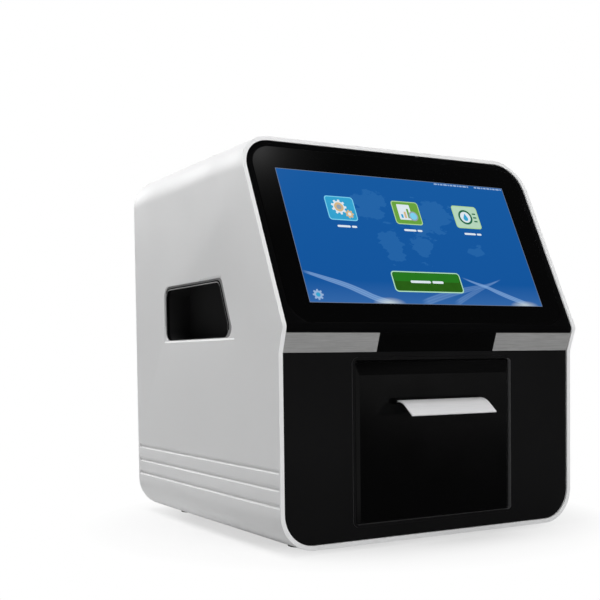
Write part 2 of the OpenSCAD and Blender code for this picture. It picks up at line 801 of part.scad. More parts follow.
// Disc drive
module spindle_motor() {
    top = well_floor - floor_t;
    color([0.3, 0.3, 0.32]) at_front() translate([0, disc_y, 0]) difference() {
        union() {
            translate([0, 0, top - spindle_motor_h])
                cylinder(d = spindle_motor_d, h = spindle_motor_h);
            translate([0, 0, top - spindle_motor_h - 2]) cylinder(d = 14, h = 3);
        }
        translate([0, 0, top - 18]) cylinder(d = spindle_d + 2 * shaft_gap, h = 20);
        for (a = [45 : 90 : 315])
            translate([13 * cos(a), 13 * sin(a), top - 6]) cylinder(d = 2.2, h = 8);
    }
}

module spindle_bearing() {
    color("silver") at_front() translate([0, disc_y, well_floor - floor_t]) difference() {
        cylinder(d = bearing_d, h = floor_t);
        translate([0, 0, -over]) cylinder(d = spindle_d + 2 * shaft_gap, h = floor_t + 2 * over);
    }
}

module disc_turntable() {
    shaft_low = well_floor - floor_t - spindle_reach;
    color([0.75, 0.75, 0.77]) at_front() translate([0, disc_y, 0]) difference() {
        union() {
            translate([0, 0, shaft_low]) cylinder(d = spindle_d, h = table_z - shaft_low + 1);
            translate([0, 0, table_z - 1.4]) cylinder(d = 12, h = 2);
            translate([0, 0, table_z]) cylinder(d = turntable_d, h = table_t);
            translate([0, 0, table_z + table_t - 0.5]) cylinder(d1 = 12, d2 = 9, h = hub_h);
            for (a = [90 : 120 : 330])
                translate([20 * cos(a), 20 * sin(a), table_z + 1]) cylinder(d = 3, h = table_t + 1);
        }
        for (a = [30 : 60 : 330])
            translate([24 * cos(a), 24 * sin(a), table_z - over]) cylinder(d = 8, h = 3 * table_t);
    }
}

// Chassis, bridge and what hangs from it
module chassis_plate() {
    inset = foot_inset;
    color("silver") at_front() difference() {
        translate([-chassis_w / 2, 12, chassis_z]) cube([chassis_w, rear_in - 20, sheet_t]);
        for (x = [-case_w / 2 + inset, case_w / 2 - inset], y = [inset, case_d - inset])
            translate([x, y, chassis_z - over]) cylinder(d = 3.6, h = 4);
        for (x = [-50 : 10 : 50])
            translate([x - 1.5, case_d / 2 - 25, chassis_z - over]) cube([3, 50, 4]);
    }
}

module inner_frame() {
    color("silver") at_front() difference() {
        union() {
            translate([-leg_x - sheet_t, leg_front, deck_z])
                cube([2 * leg_x + 2 * sheet_t, leg_rear - leg_front, sheet_t]);
            both_sides() {
                translate([leg_x, leg_front, chassis_top])
                    cube([sheet_t, leg_rear - leg_front, deck_top - chassis_top]);
                translate([leg_x, leg_front, chassis_top])
                    cube([leg_flange, leg_rear - leg_front, sheet_t]);
            }
        }
        for (y = [leg_front + 20, leg_front + 105])
            translate([-case_w / 2, y, chassis_top + 50]) cube([case_w, 55, 50]);
        translate([0, leg_rear - 40, deck_z - over]) {
            translate([-60, 0, 0]) cube([30, 20, 4]);
            translate([30, 0, 0]) cube([30, 20, 4]);
        }
    }
}

module incubator_plate() {
    color("lightgray") at_front() difference() {
        translate([-incubator_w / 2, disc_y - incubator_d / 2, plate_z])
            cube([incubator_w, incubator_d, plate_t]);
        translate([0, beam_y, plate_z - over]) cylinder(d = lens_d + 6, h = plate_t + 2 * over);
        translate([-30, disc_y - 24, plate_z - over]) cylinder(d = 14, h = plate_t + 2 * over);
        for (x = [-post_x, post_x], y = [-post_y, post_y])
            translate([x, disc_y + y, plate_z - over]) cylinder(d = 3.2, h = 5);
    }
}

module incubator_posts() {
    color("silver") at_front() for (x = [-post_x, post_x], y = [-post_y, post_y])
        translate([x, disc_y + y, 0]) {
            translate([0, 0, plate_z + plate_t]) cylinder(d = 7, h = deck_z - plate_z - plate_t);
            translate([0, 0, plate_z - 0.5]) cylinder(d = 3, h = plate_t + 1);
            translate([0, 0, plate_z - 1.7]) cylinder(d = 6, h = 1.7);
        }
}

module optics_block() {
    color([0.1, 0.1, 0.1]) at_front() difference() {
        union() {
            translate([-optics_w / 2, beam_y - optics_d / 2, block_z])
                cube([optics_w, optics_d, deck_z - block_z]);
            translate([0, beam_y, plate_z - 1]) cylinder(d = lens_d + 4, h = block_z - plate_z + 2);
        }
        translate([0, beam_y, plate_z - 3]) cylinder(d = lens_d, h = block_z - plate_z + 36);
        translate([0, 0, lamp_z]) rod_y(beam_y, lamp_y + over, 10);
    }
}

module objective_lens() {
    color([0.8, 0.9, 1, 0.6]) at_front() translate([0, beam_y, plate_z])
        cylinder(d = lens_d, h = 4);
}

module lamp_housing() {
    color("dimgray") at_front() translate([0, lamp_y, lamp_z]) difference() {
        union() {
            rod_y(0, lamp_len, lamp_d);
            for (y = [6 : 6 : lamp_len - 2]) rod_y(y, y + 2.5, lamp_fin_d);
        }
        rod_y(-over, lamp_len - 4, 13);
    }
}

module lamp_bulb() {
    color([1, 0.95, 0.8, 0.7]) at_front() translate([0, lamp_y, lamp_z]) {
        rod_y(8, lamp_len - 12, 8);
        rod_y(lamp_len - 12, lamp_len - 4, 12.9);
    }
}

module detector_post() {
    color("silver") at_front() for (x = [-14, 14])
        translate([x, beam_y, chassis_top]) cylinder(d = 6, h = detector_z - chassis_top);
}

module detector_board() {
    color("darkgreen") at_front() {
        translate([-18, beam_y - 12, detector_z]) cube([36, 24, board_t]);
        translate([-5, beam_y - 5, detector_z + 1]) cube([10, 10, 4]);
    }
}

module barcode_reader() {
    color([0.15, 0.15, 0.15]) at_front() {
        translate([-42, disc_y - 34, plate_z + plate_t]) cube([24, 20, 16]);
        translate([-30, disc_y - 24, plate_z + 0.5]) cylinder(d = 11, h = 4);
    }
}

// Main board
module board_places() {
    for (x = [-board_w / 2 + board_edge, board_w / 2 - board_edge],
        y = [board_front + board_edge, (board_front + leg_rear) / 2, leg_rear - 8])
        translate([x, y, 0]) children();
}

module main_board() {
    color("darkgreen") at_front() difference() {
        union() {
            translate([-board_w / 2, board_front, board_z])
                cube([board_w, board_rear - board_front, board_t]);
            translate([-17, board_front, board_top - 0.1]) cube([34, 7, 4.5]);
            translate([cooler_x, board_front + 30, board_top - 0.1])
                cube([cooler_w, cooler_w, cooler_t]);
            for (i = [0 : cooler_fins - 1])
                translate([cooler_x + (cooler_w - 3) / (cooler_fins - 1) * i, board_front + 30,
                    board_top + cooler_t - 0.2]) cube([3, cooler_w, 10]);
            translate([16 - board_w / 2, board_front + 24, board_top - 0.1]) cube([8, 68, 6]);
            for (i = [0 : 5]) translate([board_w / 2 - 54 + 8 * i, board_front + 20, board_top - 0.1])
                cylinder(d = 6.5, h = 9);
            for (i = [0 : 2]) translate([board_w / 2 - 54 + 16 * i, board_front + 44, board_top - 0.1])
                cube([12, 12, 2]);
            translate([30 - board_w / 2, board_rear - 44, board_top - 0.1]) cube([26, 14, 8]);
        }
        board_places() translate([0, 0, board_z - over]) cylinder(d = 3.2, h = 5);
    }
}

module board_standoffs() {
    color("goldenrod") at_front() board_places() translate([0, 0, deck_top]) difference() {
        cylinder(d = 6, h = board_lift);
        translate([0, 0, 1]) cylinder(d = 2.6, h = board_lift);
    }
}

module board_screws() {
    color("dimgray") at_front() board_places() translate([0, 0, board_top])
        screw(2.5, board_screw_len);
}

module port_shell(w, h, depth) {
    translate([-w / 2, -depth, 0]) cube([w, depth, h]);
}

module usb_ports() {
    color("silver") at_front() translate([usb_x, rear_y + 0.4, board_top]) difference() {
        port_shell(16, 16, 18);
        for (z = [1.3, 9.1]) translate([-6.6, -12, z]) cube([13.2, 14, 5.8]);
    }
}

module lan_port() {
    color("silver") at_front() translate([lan_x, rear_y + 0.4, board_top]) difference() {
        port_shell(16, 14, 20);
        translate([-6, -12, 3]) cube([12, 14, 8]);
    }
}

// Power
module power_supply() {
    color("silver") at_front() difference() {
        translate([supply_x, supply_y, supply_z]) cube([supply_w, supply_d, supply_h]);
        for (x = [8 : 6 : supply_w - 9]) translate([supply_x + x, supply_y + 6, supply_z - 2])
            cube([3, supply_d - 12, 4]);
    }
}

module power_inlet() {
    color([0.08, 0.08, 0.08]) at_front() translate([inlet_x, 0, inlet_z]) difference() {
        union() {
            translate([-13.5, rear_y - inlet_d, -9.5]) cube([27, inlet_d, 19]);
            translate([-17, rear_y, -13]) cube([34, 2.5, 26]);
        }
        difference() {
            translate([-11.5, rear_y - 15, -7.5]) cube([23, 20, 15]);
            for (x = [-7, 0, 7]) translate([x - 1, rear_y - 16, x == 0 ? 1 : -3]) cube([2, 9, 4]);
        }
    }
}

module power_leads() {
    color([0.1, 0.1, 0.1]) at_front() {
        translate([inlet_x, 0, inlet_z]) rod_y(lead_y, rear_y - inlet_d, lead_d);
        for (x = [inlet_x, lead_x]) translate([x, lead_y, inlet_z]) sphere(d = lead_d);
        translate([0, lead_y, inlet_z]) rod_x(inlet_x, lead_x, lead_d);
        translate([lead_x, lead_y, inlet_z]) cylinder(d = lead_d, h = supply_z - inlet_z);
    }
}

module switch_housing() {
    color([0.08, 0.08, 0.08]) at_front() translate([switch_x, 0, switch_z]) difference() {
        union() {
            translate([-7, rear_y - 16, -13]) cube([14, 16, 26]);
            translate([-9, rear_y, -15]) cube([18, 1.6, 30]);
        }
        translate([0, rocker_y, 0]) rod_x(-5.3, 5.3, 2 * rocker_r);
        translate([0, rocker_y, 0]) rod_x(-6.6, 6.6, 3);
        translate([-5.3, rocker_y, -rocker_r]) cube([10.6, 12, 2 * rocker_r]);
    }
}

module power_rocker() {
    color([0.1, 0.1, 0.1]) at_front()
        translate([switch_x, rocker_y, switch_z]) rotate([rocker_tilt, 0, 0]) {
            along_x(10) polygon([[-4, -5], [-1, -9.5], [4, -9.5], [2.2, 0], [4, 9.5],
                [-1, 9.5], [-4, 5]]);
            rod_x(-6.3, 6.3, 3 - 2 * shaft_gap);
        }
}

// Rear fan
module fan_frame() {
    inner_r = fan_hole_r;
    color([0.1, 0.1, 0.1]) at_front() translate([0, 0, fan_z]) difference() {
        union() {
            difference() {
                translate([-fan_size / 2, rear_in - fan_d, -fan_size / 2])
                    cube([fan_size, fan_d, fan_size]);
                rod_y(rear_in - fan_d - over, rear_in + over, 2 * inner_r);
            }
            rod_y(rear_in - fan_d, rear_in - fan_d + 2.5, 26);
            for (a = [0 : 90 : 270]) rotate([0, a, 0])
                translate([11, rear_in - fan_d, -2]) cube([inner_r - 8, 2.5, 4]);
        }
        rod_y(rear_in - fan_d - over, rear_in - fan_d + 5, 3 + 2 * shaft_gap);
        for (x = [-fan_pitch, fan_pitch], z = [-fan_pitch, fan_pitch])
            translate([x, 0, z]) rod_y(rear_in - fan_d - over, rear_in + over, 3.4);
    }
}

module fan_rotor() {
    low = rear_in - fan_d + 3;
    high = rear_in - 1.5;
    hub_d = 28;
    blade_r = fan_hole_r - 1.2;
    blade_chord = 22;
    blade_t = 1.6;
    blade_pitch = 38;
    color([0.14, 0.14, 0.14]) at_front() translate([0, 0, fan_z]) {
        rod_y(low, high, hub_d);
        rod_y(low - 3, low + 1, 3);
        intersection() {
            difference() {
                rod_y(low, high, 2 * blade_r);
                rod_y(low - over, high + over, hub_d - 1);
            }
            for (i = [0 : fan_blades - 1]) rotate([0, 360 * i / fan_blades, 0])
                translate([0, (low + high) / 2, 0]) rotate([0, 0, blade_pitch])
                    translate([-blade_chord / 2, -blade_t / 2, hub_d / 2 - 2])
                        cube([blade_chord, blade_t, blade_r]);
        }
    }
}

module fan_guard() {
    reach = fan_pitch * sqrt(2);
    color("silver") at_front() translate([0, rear_y, fan_z]) difference() {
        union() {
            for (r = [10 : 8 : fan_hole_r]) difference() {
                rod_y(0.8, 2, 2 * r + 1.4);
                rod_y(-over, 3, 2 * r - 1.4);
            }
            for (a = [45, 135]) rotate([0, a, 0])
                translate([-reach, 0, -0.8]) cube([2 * reach, 1, 1.6]);
            for (x = [-fan_pitch, fan_pitch], z = [-fan_pitch, fan_pitch])
                translate([x, 0, z]) rod_y(0, 1, 7);
        }
        for (x = [-fan_pitch, fan_pitch], z = [-fan_pitch, fan_pitch])
            translate([x, 0, z]) rod_y(-over, 3, 3.4);
    }
}

module fan_screws() {
    color("dimgray") at_front() for (x = [-fan_pitch, fan_pitch], z = [-fan_pitch, fan_pitch])
        translate([x, rear_y + 1, fan_z + z]) rotate([-90, 0, 0])
            screw(screw_d, fan_screw_len);
}

// Feet
module foot_places() {
    for (x = [-case_w / 2 + foot_inset, case_w / 2 - foot_inset],
        y = [foot_inset, case_d - foot_inset]) translate([x, y, 0]) children();
}

module rubber_feet() {
    color([0.1, 0.1, 0.1]) at_front() foot_places() difference() {
        translate([0, 0, -foot_h]) cylinder(d = foot_d, h = foot_h);
        translate([0, 0, -foot_h - over]) cylinder(d = 9, h = foot_h + over - 1);
        translate([0, 0, -foot_h - over]) cylinder(d = 4.2, h = foot_h + 2 * over);
    }
}

module foot_screws() {
    color("dimgray") at_front() foot_places() translate([0, 0, -1]) mirror([0, 0, 1]) {
        translate([0, 0, -chassis_top - 1]) cylinder(d = 3.5, h = chassis_top + 1);
        cylinder(d = 8, h = foot_h - 1.4);
    }
}

outer_case();
rear_panel();
front_panel();
front_bezel();
screen_glass();
lcd_module();
display_bracket();
display_screws();
display_ribbon();
trim_strip_left();
trim_strip_right();
badge_plate();
front_screws();
grip_pocket_left();
grip_pocket_right();
door_frame();
light_seal();
drawer_front();
handle_base();
drawer_handle();
handle_screws();
drawer_tray();
tray_screws();
drawer_slides();
rail_channels();
rail_brackets();
drawer_rack();
drive_pinion();
drive_motor();
spindle_motor();
spindle_bearing();
disc_turntable();
chassis_plate();
inner_frame();
incubator_plate();
incubator_posts();
optics_block();
objective_lens();
lamp_housing();
lamp_bulb();
detector_post();
detector_board();
barcode_reader();
main_board();
board_standoffs();
board_screws();
usb_ports();
lan_port();
power_supply();
power_inlet();
power_leads();
switch_housing();
power_rocker();
fan_frame();
fan_rotor();
fan_guard();
fan_screws();
rubber_feet();
foot_screws();
rear_screws();
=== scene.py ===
import json
import math

import bmesh
import bpy
from mathutils import Matrix, Vector


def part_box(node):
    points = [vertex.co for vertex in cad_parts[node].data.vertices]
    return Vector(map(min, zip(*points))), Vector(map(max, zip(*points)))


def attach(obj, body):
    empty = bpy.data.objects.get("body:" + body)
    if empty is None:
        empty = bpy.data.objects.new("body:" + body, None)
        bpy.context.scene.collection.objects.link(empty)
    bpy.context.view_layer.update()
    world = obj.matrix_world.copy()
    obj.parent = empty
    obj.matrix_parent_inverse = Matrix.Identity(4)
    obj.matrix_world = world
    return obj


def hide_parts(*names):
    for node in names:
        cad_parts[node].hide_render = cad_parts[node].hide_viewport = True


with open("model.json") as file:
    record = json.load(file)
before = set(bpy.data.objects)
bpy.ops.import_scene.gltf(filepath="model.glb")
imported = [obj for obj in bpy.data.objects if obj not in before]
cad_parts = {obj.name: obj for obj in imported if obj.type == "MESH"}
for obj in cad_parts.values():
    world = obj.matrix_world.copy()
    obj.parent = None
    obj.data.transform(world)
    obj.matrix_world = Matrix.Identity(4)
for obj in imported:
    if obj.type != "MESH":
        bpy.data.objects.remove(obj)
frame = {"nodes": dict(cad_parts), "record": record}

# Millimetres are used below, and turned into metres where meshes are made
MM = 0.001
record = frame["record"]
body_of = {node: body for body, nodes in record["behaviour"]["bodies"].items() for node in nodes}
slot_of = {part["node"]: part["material_slot"] for part in record["subparts"]}
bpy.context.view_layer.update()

# Places of the built frame: the lower front plane, the case bottom and the rear cover
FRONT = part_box("drawer_front")[0].y
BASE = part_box("outer_case")[0].z
REAR = (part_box("rear_panel")[1].y - FRONT) / MM

# Light: the even light of the world, and the lamps' places and power
AMBIENT = 0.12
LAMPS = {"key": ((-0.5, 0.05, 1.75), 24.5), "front": ((0.0, -1.6, 0.5), 12),
         "rear": ((1.2, 1.3, 0.5), 9)}
LAMP_SIZE = 0.8
LIT_POINT = (0, 0, 0.15)

# What gloss shows of the set in front: the wall and the near floor, the far floor, the left floor
DIM_FRONT = 0.03
FAR_FRONT = 0.3
LEFT_FRONT = 0.3
# Windows that gloss shows: the way each lies, the cosine at its edge and its strength
WINDOWS = [((0.53, -0.845, 0.06), 0.985, 0.45), ((-0.6, -0.79, 0.12), 0.9, 0.3),
           ((0.58, -0.78, 0.2), 0.985, 0.8), ((0.56, -0.74, 0.36), 0.97, 0.12),
           ((-0.32, 0.86, 0.4), 0.94, 6.0)]
# A small lamp that gloss shows in the corner of the screen: its way, and how fast it fades
LAMP_WAY = (0.4472, -0.3831, 0.8082)
LAMP_FADE = 9000

# Distances from the middle at which the floor starts and ends to turn into the background
FLOOR_FADE = (0.13, 0.22)
FLOOR_WHITE = 0.62

# Screen face: the ridge, its lean, and the lit part of the display along the face
RIDGE_REACH = 6.2
RIDGE_H = 151.5
SCREEN_LEAN = math.radians(25.75)
LIT_W = 208
LIT_LOW = 18.3
LIT_H = 108.6


def at(x, y, z):
    """A place in the part's own millimetres, from the front plane and the case bottom."""
    return Vector((x * MM, FRONT + y * MM, BASE + z * MM))


def frame_of(origin, across, up):
    """A matrix whose X runs across, Y runs up a face and Z stands out of it, in metres."""
    across, up = Vector(across).normalized(), Vector(up).normalized()
    turn = Matrix((across, up, across.cross(up))).transposed()
    return Matrix.Translation(origin) @ turn.to_4x4() @ Matrix.Scale(MM, 4)


SCREEN = frame_of(at(0, -RIDGE_REACH, RIDGE_H), (1, 0, 0),
                  (0, math.sin(SCREEN_LEAN), math.cos(SCREEN_LEAN)))


# Material nodes

class Nodes:
    """A node tree, with short calls for the nodes that the finishes and the world share."""

    def __init__(self, tree):
        self.tree = tree

    def put(self, socket, value):
        if isinstance(value, bpy.types.NodeSocket):
            self.tree.links.new(value, socket)
        elif socket.type == "RGBA" and len(value) == 3:
            socket.default_value = (*value, 1)
        else:
            socket.default_value = value

    def add(self, kind, inputs=None, **settings):
        node = self.tree.nodes.new(kind)
        for key, value in settings.items():
            setattr(node, key, value)
        for key, value in (inputs or {}).items():
            self.put(node.inputs[key], value)
        return node

    def math(self, operation, a, b=0.0):
        return self.add("ShaderNodeMath", {0: a, 1: b}, operation=operation).outputs[0]

    def vector(self, operation, a, b=None):
        inputs = {0: a} if b is None else {0: a, 1: b}
        return self.add("ShaderNodeVectorMath", inputs, operation=operation)

    def split(self, vector):
        return self.add("ShaderNodeSeparateXYZ", {0: vector}).outputs

    def spread(self, value, low, high, to_low, to_high):
        return self.add("ShaderNodeMapRange", {"Value": value, "From Min": low, "From Max": high,
                                               "To Min": to_low, "To Max": to_high}).outputs["Result"]

    def mix(self, factor, a, b):
        return self.add("ShaderNodeMix", {0: factor, 6: a, 7: b}, data_type="RGBA").outputs[2]

    def sees_background(self):
        """1 for rays from the camera and through glass, 0 for light that falls on things."""
        path = self.add("ShaderNodeLightPath").outputs
        return self.math("MAXIMUM", path["Is Camera Ray"], path["Is Transmission Ray"])

    def sees_gloss(self):
        return self.add("ShaderNodeLightPath").outputs["Is Glossy Ray"]


class Finish(Nodes):
    """A material with its shader, and the calls that need a place on the object."""

    def __init__(self, name):
        self.material = bpy.data.materials.new(name)
        self.material.use_nodes = True
        super().__init__(self.material.node_tree)
        self.shader = self.tree.nodes["Principled BSDF"]
        self.place = self.add("ShaderNodeTexCoord").outputs["Object"]

    def set(self, **sockets):
        for key, value in sockets.items():
            self.put(self.shader.inputs[key.replace("_", " ")], value)

    def noise(self, scale, detail=3.0, stretch=None, roughness=0.5):
        place = self.place
        if stretch:
            place = self.add("ShaderNodeMapping", {"Vector": place, "Scale": stretch}).outputs["Vector"]
        return self.add("ShaderNodeTexNoise", {"Vector": place, "Scale": scale, "Detail": detail,
                                               "Roughness": roughness}).outputs["Fac"]

    def bump(self, height, depth_mm):
        return self.add("ShaderNodeBump", {"Height": height,
                                           "Distance": depth_mm * MM}).outputs["Normal"]

    def edges(self, radius_mm):
        """A mask that is 1 on sharp outer and inner edges, for wear and dust."""
        flat_cos, edge_cos = 0.995, 0.9
        soft = self.add("ShaderNodeBevel", {"Radius": radius_mm * MM}, samples=6).outputs["Normal"]
        flat = self.add("ShaderNodeNewGeometry").outputs["Normal"]
        turned_cos = self.vector("DOT_PRODUCT", soft, flat).outputs["Value"]
        return self.spread(turned_cos, flat_cos, edge_cos, 0.0, 1.0)

    def faces_front(self):
        """A mask that is 1 on faces that look forward."""
        side_y, front_y = -0.05, -0.25
        normal = self.add("ShaderNodeTexCoord").outputs["Normal"]
        return self.spread(self.split(normal)["Y"], side_y, front_y, 0.0, 1.0)


def scaled(colour, factor):
    return tuple(min(1.0, c * factor) for c in colour)


def moulded(name, colour, roughness, grain=0.5, depth=0.012, vary=0.05, worn=1.25, shine=0.5,
            front=None):
    """Moulded plastic: fine grain, slight colour drift, paler edges, and, where front is given, a front
    colour against paler walls that are painted highlight.
    """
    edge_mm, edge_share = 0.5, 0.6
    f = Finish(name)
    drift = f.spread(f.noise(9, 2), 0.3, 0.7, 0.0, 1.0)
    body = f.mix(drift, scaled(colour, 1 - vary), scaled(colour, 1 + vary))
    fine = f.noise(1000 / grain, 2)
    body = f.mix(f.math("MULTIPLY", f.edges(edge_mm), edge_share), body, scaled(colour, worn))
    # Faces that look forward take the front colour and the other faces keep the body colour: this paints
    # the lit walls paler than the front
    if front:
        body = f.mix(f.faces_front(), body, front)
    smudge = f.noise(35, 4)
    f.set(Base_Color=body, Roughness=f.spread(smudge, 0.3, 0.7, roughness - 0.05, roughness + 0.05),
          Normal=f.bump(fine, depth), Specular_IOR_Level=shine)
    return f.material


def brushed(name, colour, roughness, along=(1, 40, 40), scale=60, depth=0.006, vary=0.12,
            metallic=1.0):
    """Metal with brush marks along the axis that is stretched least, and paler edges."""
    edge_mm, edge_share, worn = 0.4, 0.5, 1.5
    f = Finish(name)
    marks = f.noise(scale, 5, along, 0.65)
    cloud = f.noise(14, 2)
    tone = f.mix(f.spread(marks, 0.25, 0.75, 0, 1), scaled(colour, 1 - vary), scaled(colour, 1 + vary))
    tone = f.mix(f.math("MULTIPLY", f.edges(edge_mm), edge_share), tone, scaled(colour, worn))
    rough = f.math("ADD", f.spread(marks, 0.3, 0.7, roughness - 0.06, roughness + 0.06),
                   f.spread(cloud, 0.3, 0.7, -0.03, 0.03))
    f.set(Base_Color=tone, Metallic=metallic, Roughness=rough, Normal=f.bump(marks, depth))
    return f.material


def turned(name, colour, roughness):
    """Plated or turned metal with a fine, even haze."""
    f = Finish(name)
    haze = f.noise(700, 3)
    stain = f.noise(60, 3)
    tone = f.mix(f.spread(stain, 0.35, 0.65, 0, 1), scaled(colour, 0.88), scaled(colour, 1.08))
    f.set(Base_Color=tone, Metallic=1.0, Normal=f.bump(haze, 0.003),
          Roughness=f.spread(haze, 0.3, 0.7, roughness - 0.05, roughness + 0.07))
    return f.material


def rubber(name, colour):
    """Matt rubber with a coarse grain and patches of dust."""
    f = Finish(name)
    grain = f.noise(900, 3)
    dust = f.spread(f.noise(45, 4), 0.45, 0.7, 0, 0.5)
    f.set(Base_Color=f.mix(dust, colour, scaled(colour, 2.2)), Roughness=0.82,
          Normal=f.bump(grain, 0.03), Specular_IOR_Level=0.25)
    return f.material


def black_glass(name):
    """Printed black border behind glass: deep black, with faint finger haze in the gloss."""
    f = Finish(name)
    haze = f.noise(22, 5)
    f.set(Base_Color=f.mix(f.noise(6, 2), (0.0003, 0.0003, 0.00035), (0.0008, 0.0008, 0.0009)),
          Roughness=f.spread(haze, 0.35, 0.75, 0.03, 0.07), Specular_IOR_Level=0.5,
          Normal=f.bump(f.noise(12, 1), 0.002))
    return f.material


def clear_glass(name):
    """Clear glass with a faint tint and haze."""
    f = Finish(name)
    f.set(Base_Color=f.mix(f.noise(50, 2), (0.86, 0.93, 0.95), (0.94, 0.98, 1.0)),
          Transmission_Weight=1.0, Roughness=f.spread(f.noise(120, 3), 0.3, 0.7, 0.0, 0.05))
    return f.material


def circuit_board(name):
    """Solder mask over copper tracks, with bare pads."""
    f = Finish(name)
    tracks = f.add("ShaderNodeTexVoronoi", {"Vector": f.place, "Scale": 260}, distance="CHEBYCHEV",
                   feature="DISTANCE_TO_EDGE").outputs["Distance"]
    track = f.spread(tracks, 0.03, 0.05, 1, 0)
    pads = f.add("ShaderNodeTexVoronoi", {"Vector": f.place, "Scale": 420}).outputs["Distance"]
    pad = f.spread(pads, 0.12, 0.16, 1, 0)
    mask = f.mix(track, (0.006, 0.085, 0.03), (0.012, 0.16, 0.06))
    f.set(Base_Color=f.mix(pad, mask, (0.55, 0.55, 0.5)), Roughness=0.35, Coat_Weight=0.3,
          Normal=f.bump(track, 0.02))
    return f.material


def glow(name, colour, strength=1.0, vary=0.08, scale=120):
    """A lit colour on the display, with a slight unevenness, under a glossy surface."""
    f = Finish(name)
    lit = f.mix(f.noise(scale, 2), scaled(colour, 1 - vary), scaled(colour, 1 + vary))
    f.set(Base_Color=(0.0, 0.0, 0.0), Emission_Color=lit, Emission_Strength=strength,
          Roughness=0.12, Specular_IOR_Level=0.3)
    return f.material


# Lands on the lit picture, in shares of its width and height: the middle and half size of each
LANDS = [((0.35, 0.74), (0.06, 0.12)), ((0.4, 0.44), (0.04, 0.12)), ((0.53, 0.48), (0.055, 0.11)),
         ((0.62, 0.72), (0.12, 0.1)), ((0.76, 0.42), (0.045, 0.05))]
# Swooshes: how strong each is, then places across with the height and half width there
SWOOSHES = [(0.62, [(0.0, 0.226, 0.009), (0.08, 0.178, 0.018), (0.16, 0.128, 0.024),
                    (0.22, 0.078, 0.028), (0.27, 0.036, 0.026), (0.34, 0.004, 0.018)]),
            (0.62, [(0.66, 0.216, 0.005), (0.71, 0.178, 0.010), (0.76, 0.146, 0.015),
                    (0.81, 0.104, 0.021), (0.87, 0.058, 0.022), (0.94, 0.012, 0.018)]),
            (0.3, [(0.45, 0.004, 0.03), (0.58, 0.082, 0.028), (0.69, 0.131, 0.02),
                   (0.76, 0.16, 0.01), (0.84, 0.211, 0.004)]),
            (0.26, [(0.59, 0.0, 0.026), (0.69, 0.094, 0.02), (0.76, 0.148, 0.01),
                    (0.84, 0.21, 0.004)])]
# Glints on the foot of the picture: the middle and half size of each
GLINTS = [((0.315, 0.0), (0.07, 0.05)), ((0.915, 0.0), (0.07, 0.045))]


class Picture(Finish):
    """A finish that is drawn over the width and height of the lit part of the display."""

    def __init__(self, name):
        super().__init__(name)
        self.uv = self.add("ShaderNodeTexCoord").outputs["UV"]
        self.across, self.up = self.split(self.uv)["X"], self.split(self.uv)["Y"]

    def blob(self, middle, half):
        """1 in the middle of an ellipse, 0 on its rim, and less outside."""
        away = self.vector("SUBTRACT", self.uv, (*middle, 0)).outputs["Vector"]
        share = self.vector("DIVIDE", away, (*half, 1)).outputs["Vector"]
        return self.math("SUBTRACT", 1.0, self.vector("LENGTH", share).outputs["Value"])

    def curve(self, points):
        """A smooth curve over the width of the display."""
        line = self.add("ShaderNodeFloatCurve", {"Value": self.across})
        drawn = line.mapping.curves[0]
        drawn.points[0].location = points[0]
        drawn.points[1].location = points[-1]
        for point in points[1:-1]:
            drawn.points.new(*point)
        line.mapping.update()
        return line.outputs[0]

    def land(self):
        """1 on land, whose coast is ragged, and 0 beyond it."""
        land = self.blob(*LANDS[0])
        for place in LANDS[1:]:
            land = self.math("MAXIMUM", land, self.blob(*place))
        coast = self.add("ShaderNodeTexNoise", {"Vector": self.uv, "Scale": 9.0, "Detail": 6.0,
                                                "Roughness": 0.6}).outputs["Fac"]
        shore = self.math("ADD", land, self.spread(coast, 0.25, 0.75, -1.2, 1.2))
        return self.spread(shore, 0.0, 0.08, 0, 0.35)

    def swoosh(self, places):
        """A veil of strands along a curve, faded out at both ends."""
        finer = 10
        fade = 0.03
        middle = self.curve([(x, height) for x, height, half in places])
        half = self.curve([(x, finer * half) for x, height, half in places])
        off = self.math("DIVIDE", self.math("MULTIPLY", self.math("SUBTRACT", self.up, middle), finer),
                        half)
        veil = self.spread(self.math("ABSOLUTE", off), 0.7, 1.0, 1, 0)
        strands = self.spread(self.math("COSINE", self.math("MULTIPLY", off, 9.0)), -1, 1, 0.6, 1.0)
        start, end = places[0][0], places[-1][0]
        ends = self.math("MULTIPLY", self.spread(self.across, start, start + fade, 0, 1),
                         self.spread(self.across, end - fade, end, 1, 0))
        return self.math("MULTIPLY", self.math("MULTIPLY", veil, strands), ends)


def wallpaper(name):
    """Blue display ground: pale land, light swooshes along the foot, and a glint where they end."""
    f = Picture(name)
    colour = f.mix(f.spread(f.up, 0, 1, 0.1, 0.5), (0.0052, 0.084, 0.325), (0.010, 0.118, 0.385))
    colour = f.mix(f.land(), colour, (0.035, 0.18, 0.46))
    colour = f.mix(f.spread(f.up, 0.0, 0.17, 0.14, 0.0), colour, (0.2, 0.42, 0.75))
    for strength, places in SWOOSHES:
        colour = f.mix(f.math("MULTIPLY", f.swoosh(places), strength), colour, (0.28, 0.48, 0.8))
    for place in GLINTS:
        colour = f.mix(f.spread(f.blob(*place), 0, 1, 0, 0.8), colour, (0.72, 0.78, 0.72))
    f.set(Base_Color=(0.0, 0.0, 0.0), Emission_Color=colour, Emission_Strength=1.0, Roughness=0.1,
          Specular_IOR_Level=0.3)
    return f.material


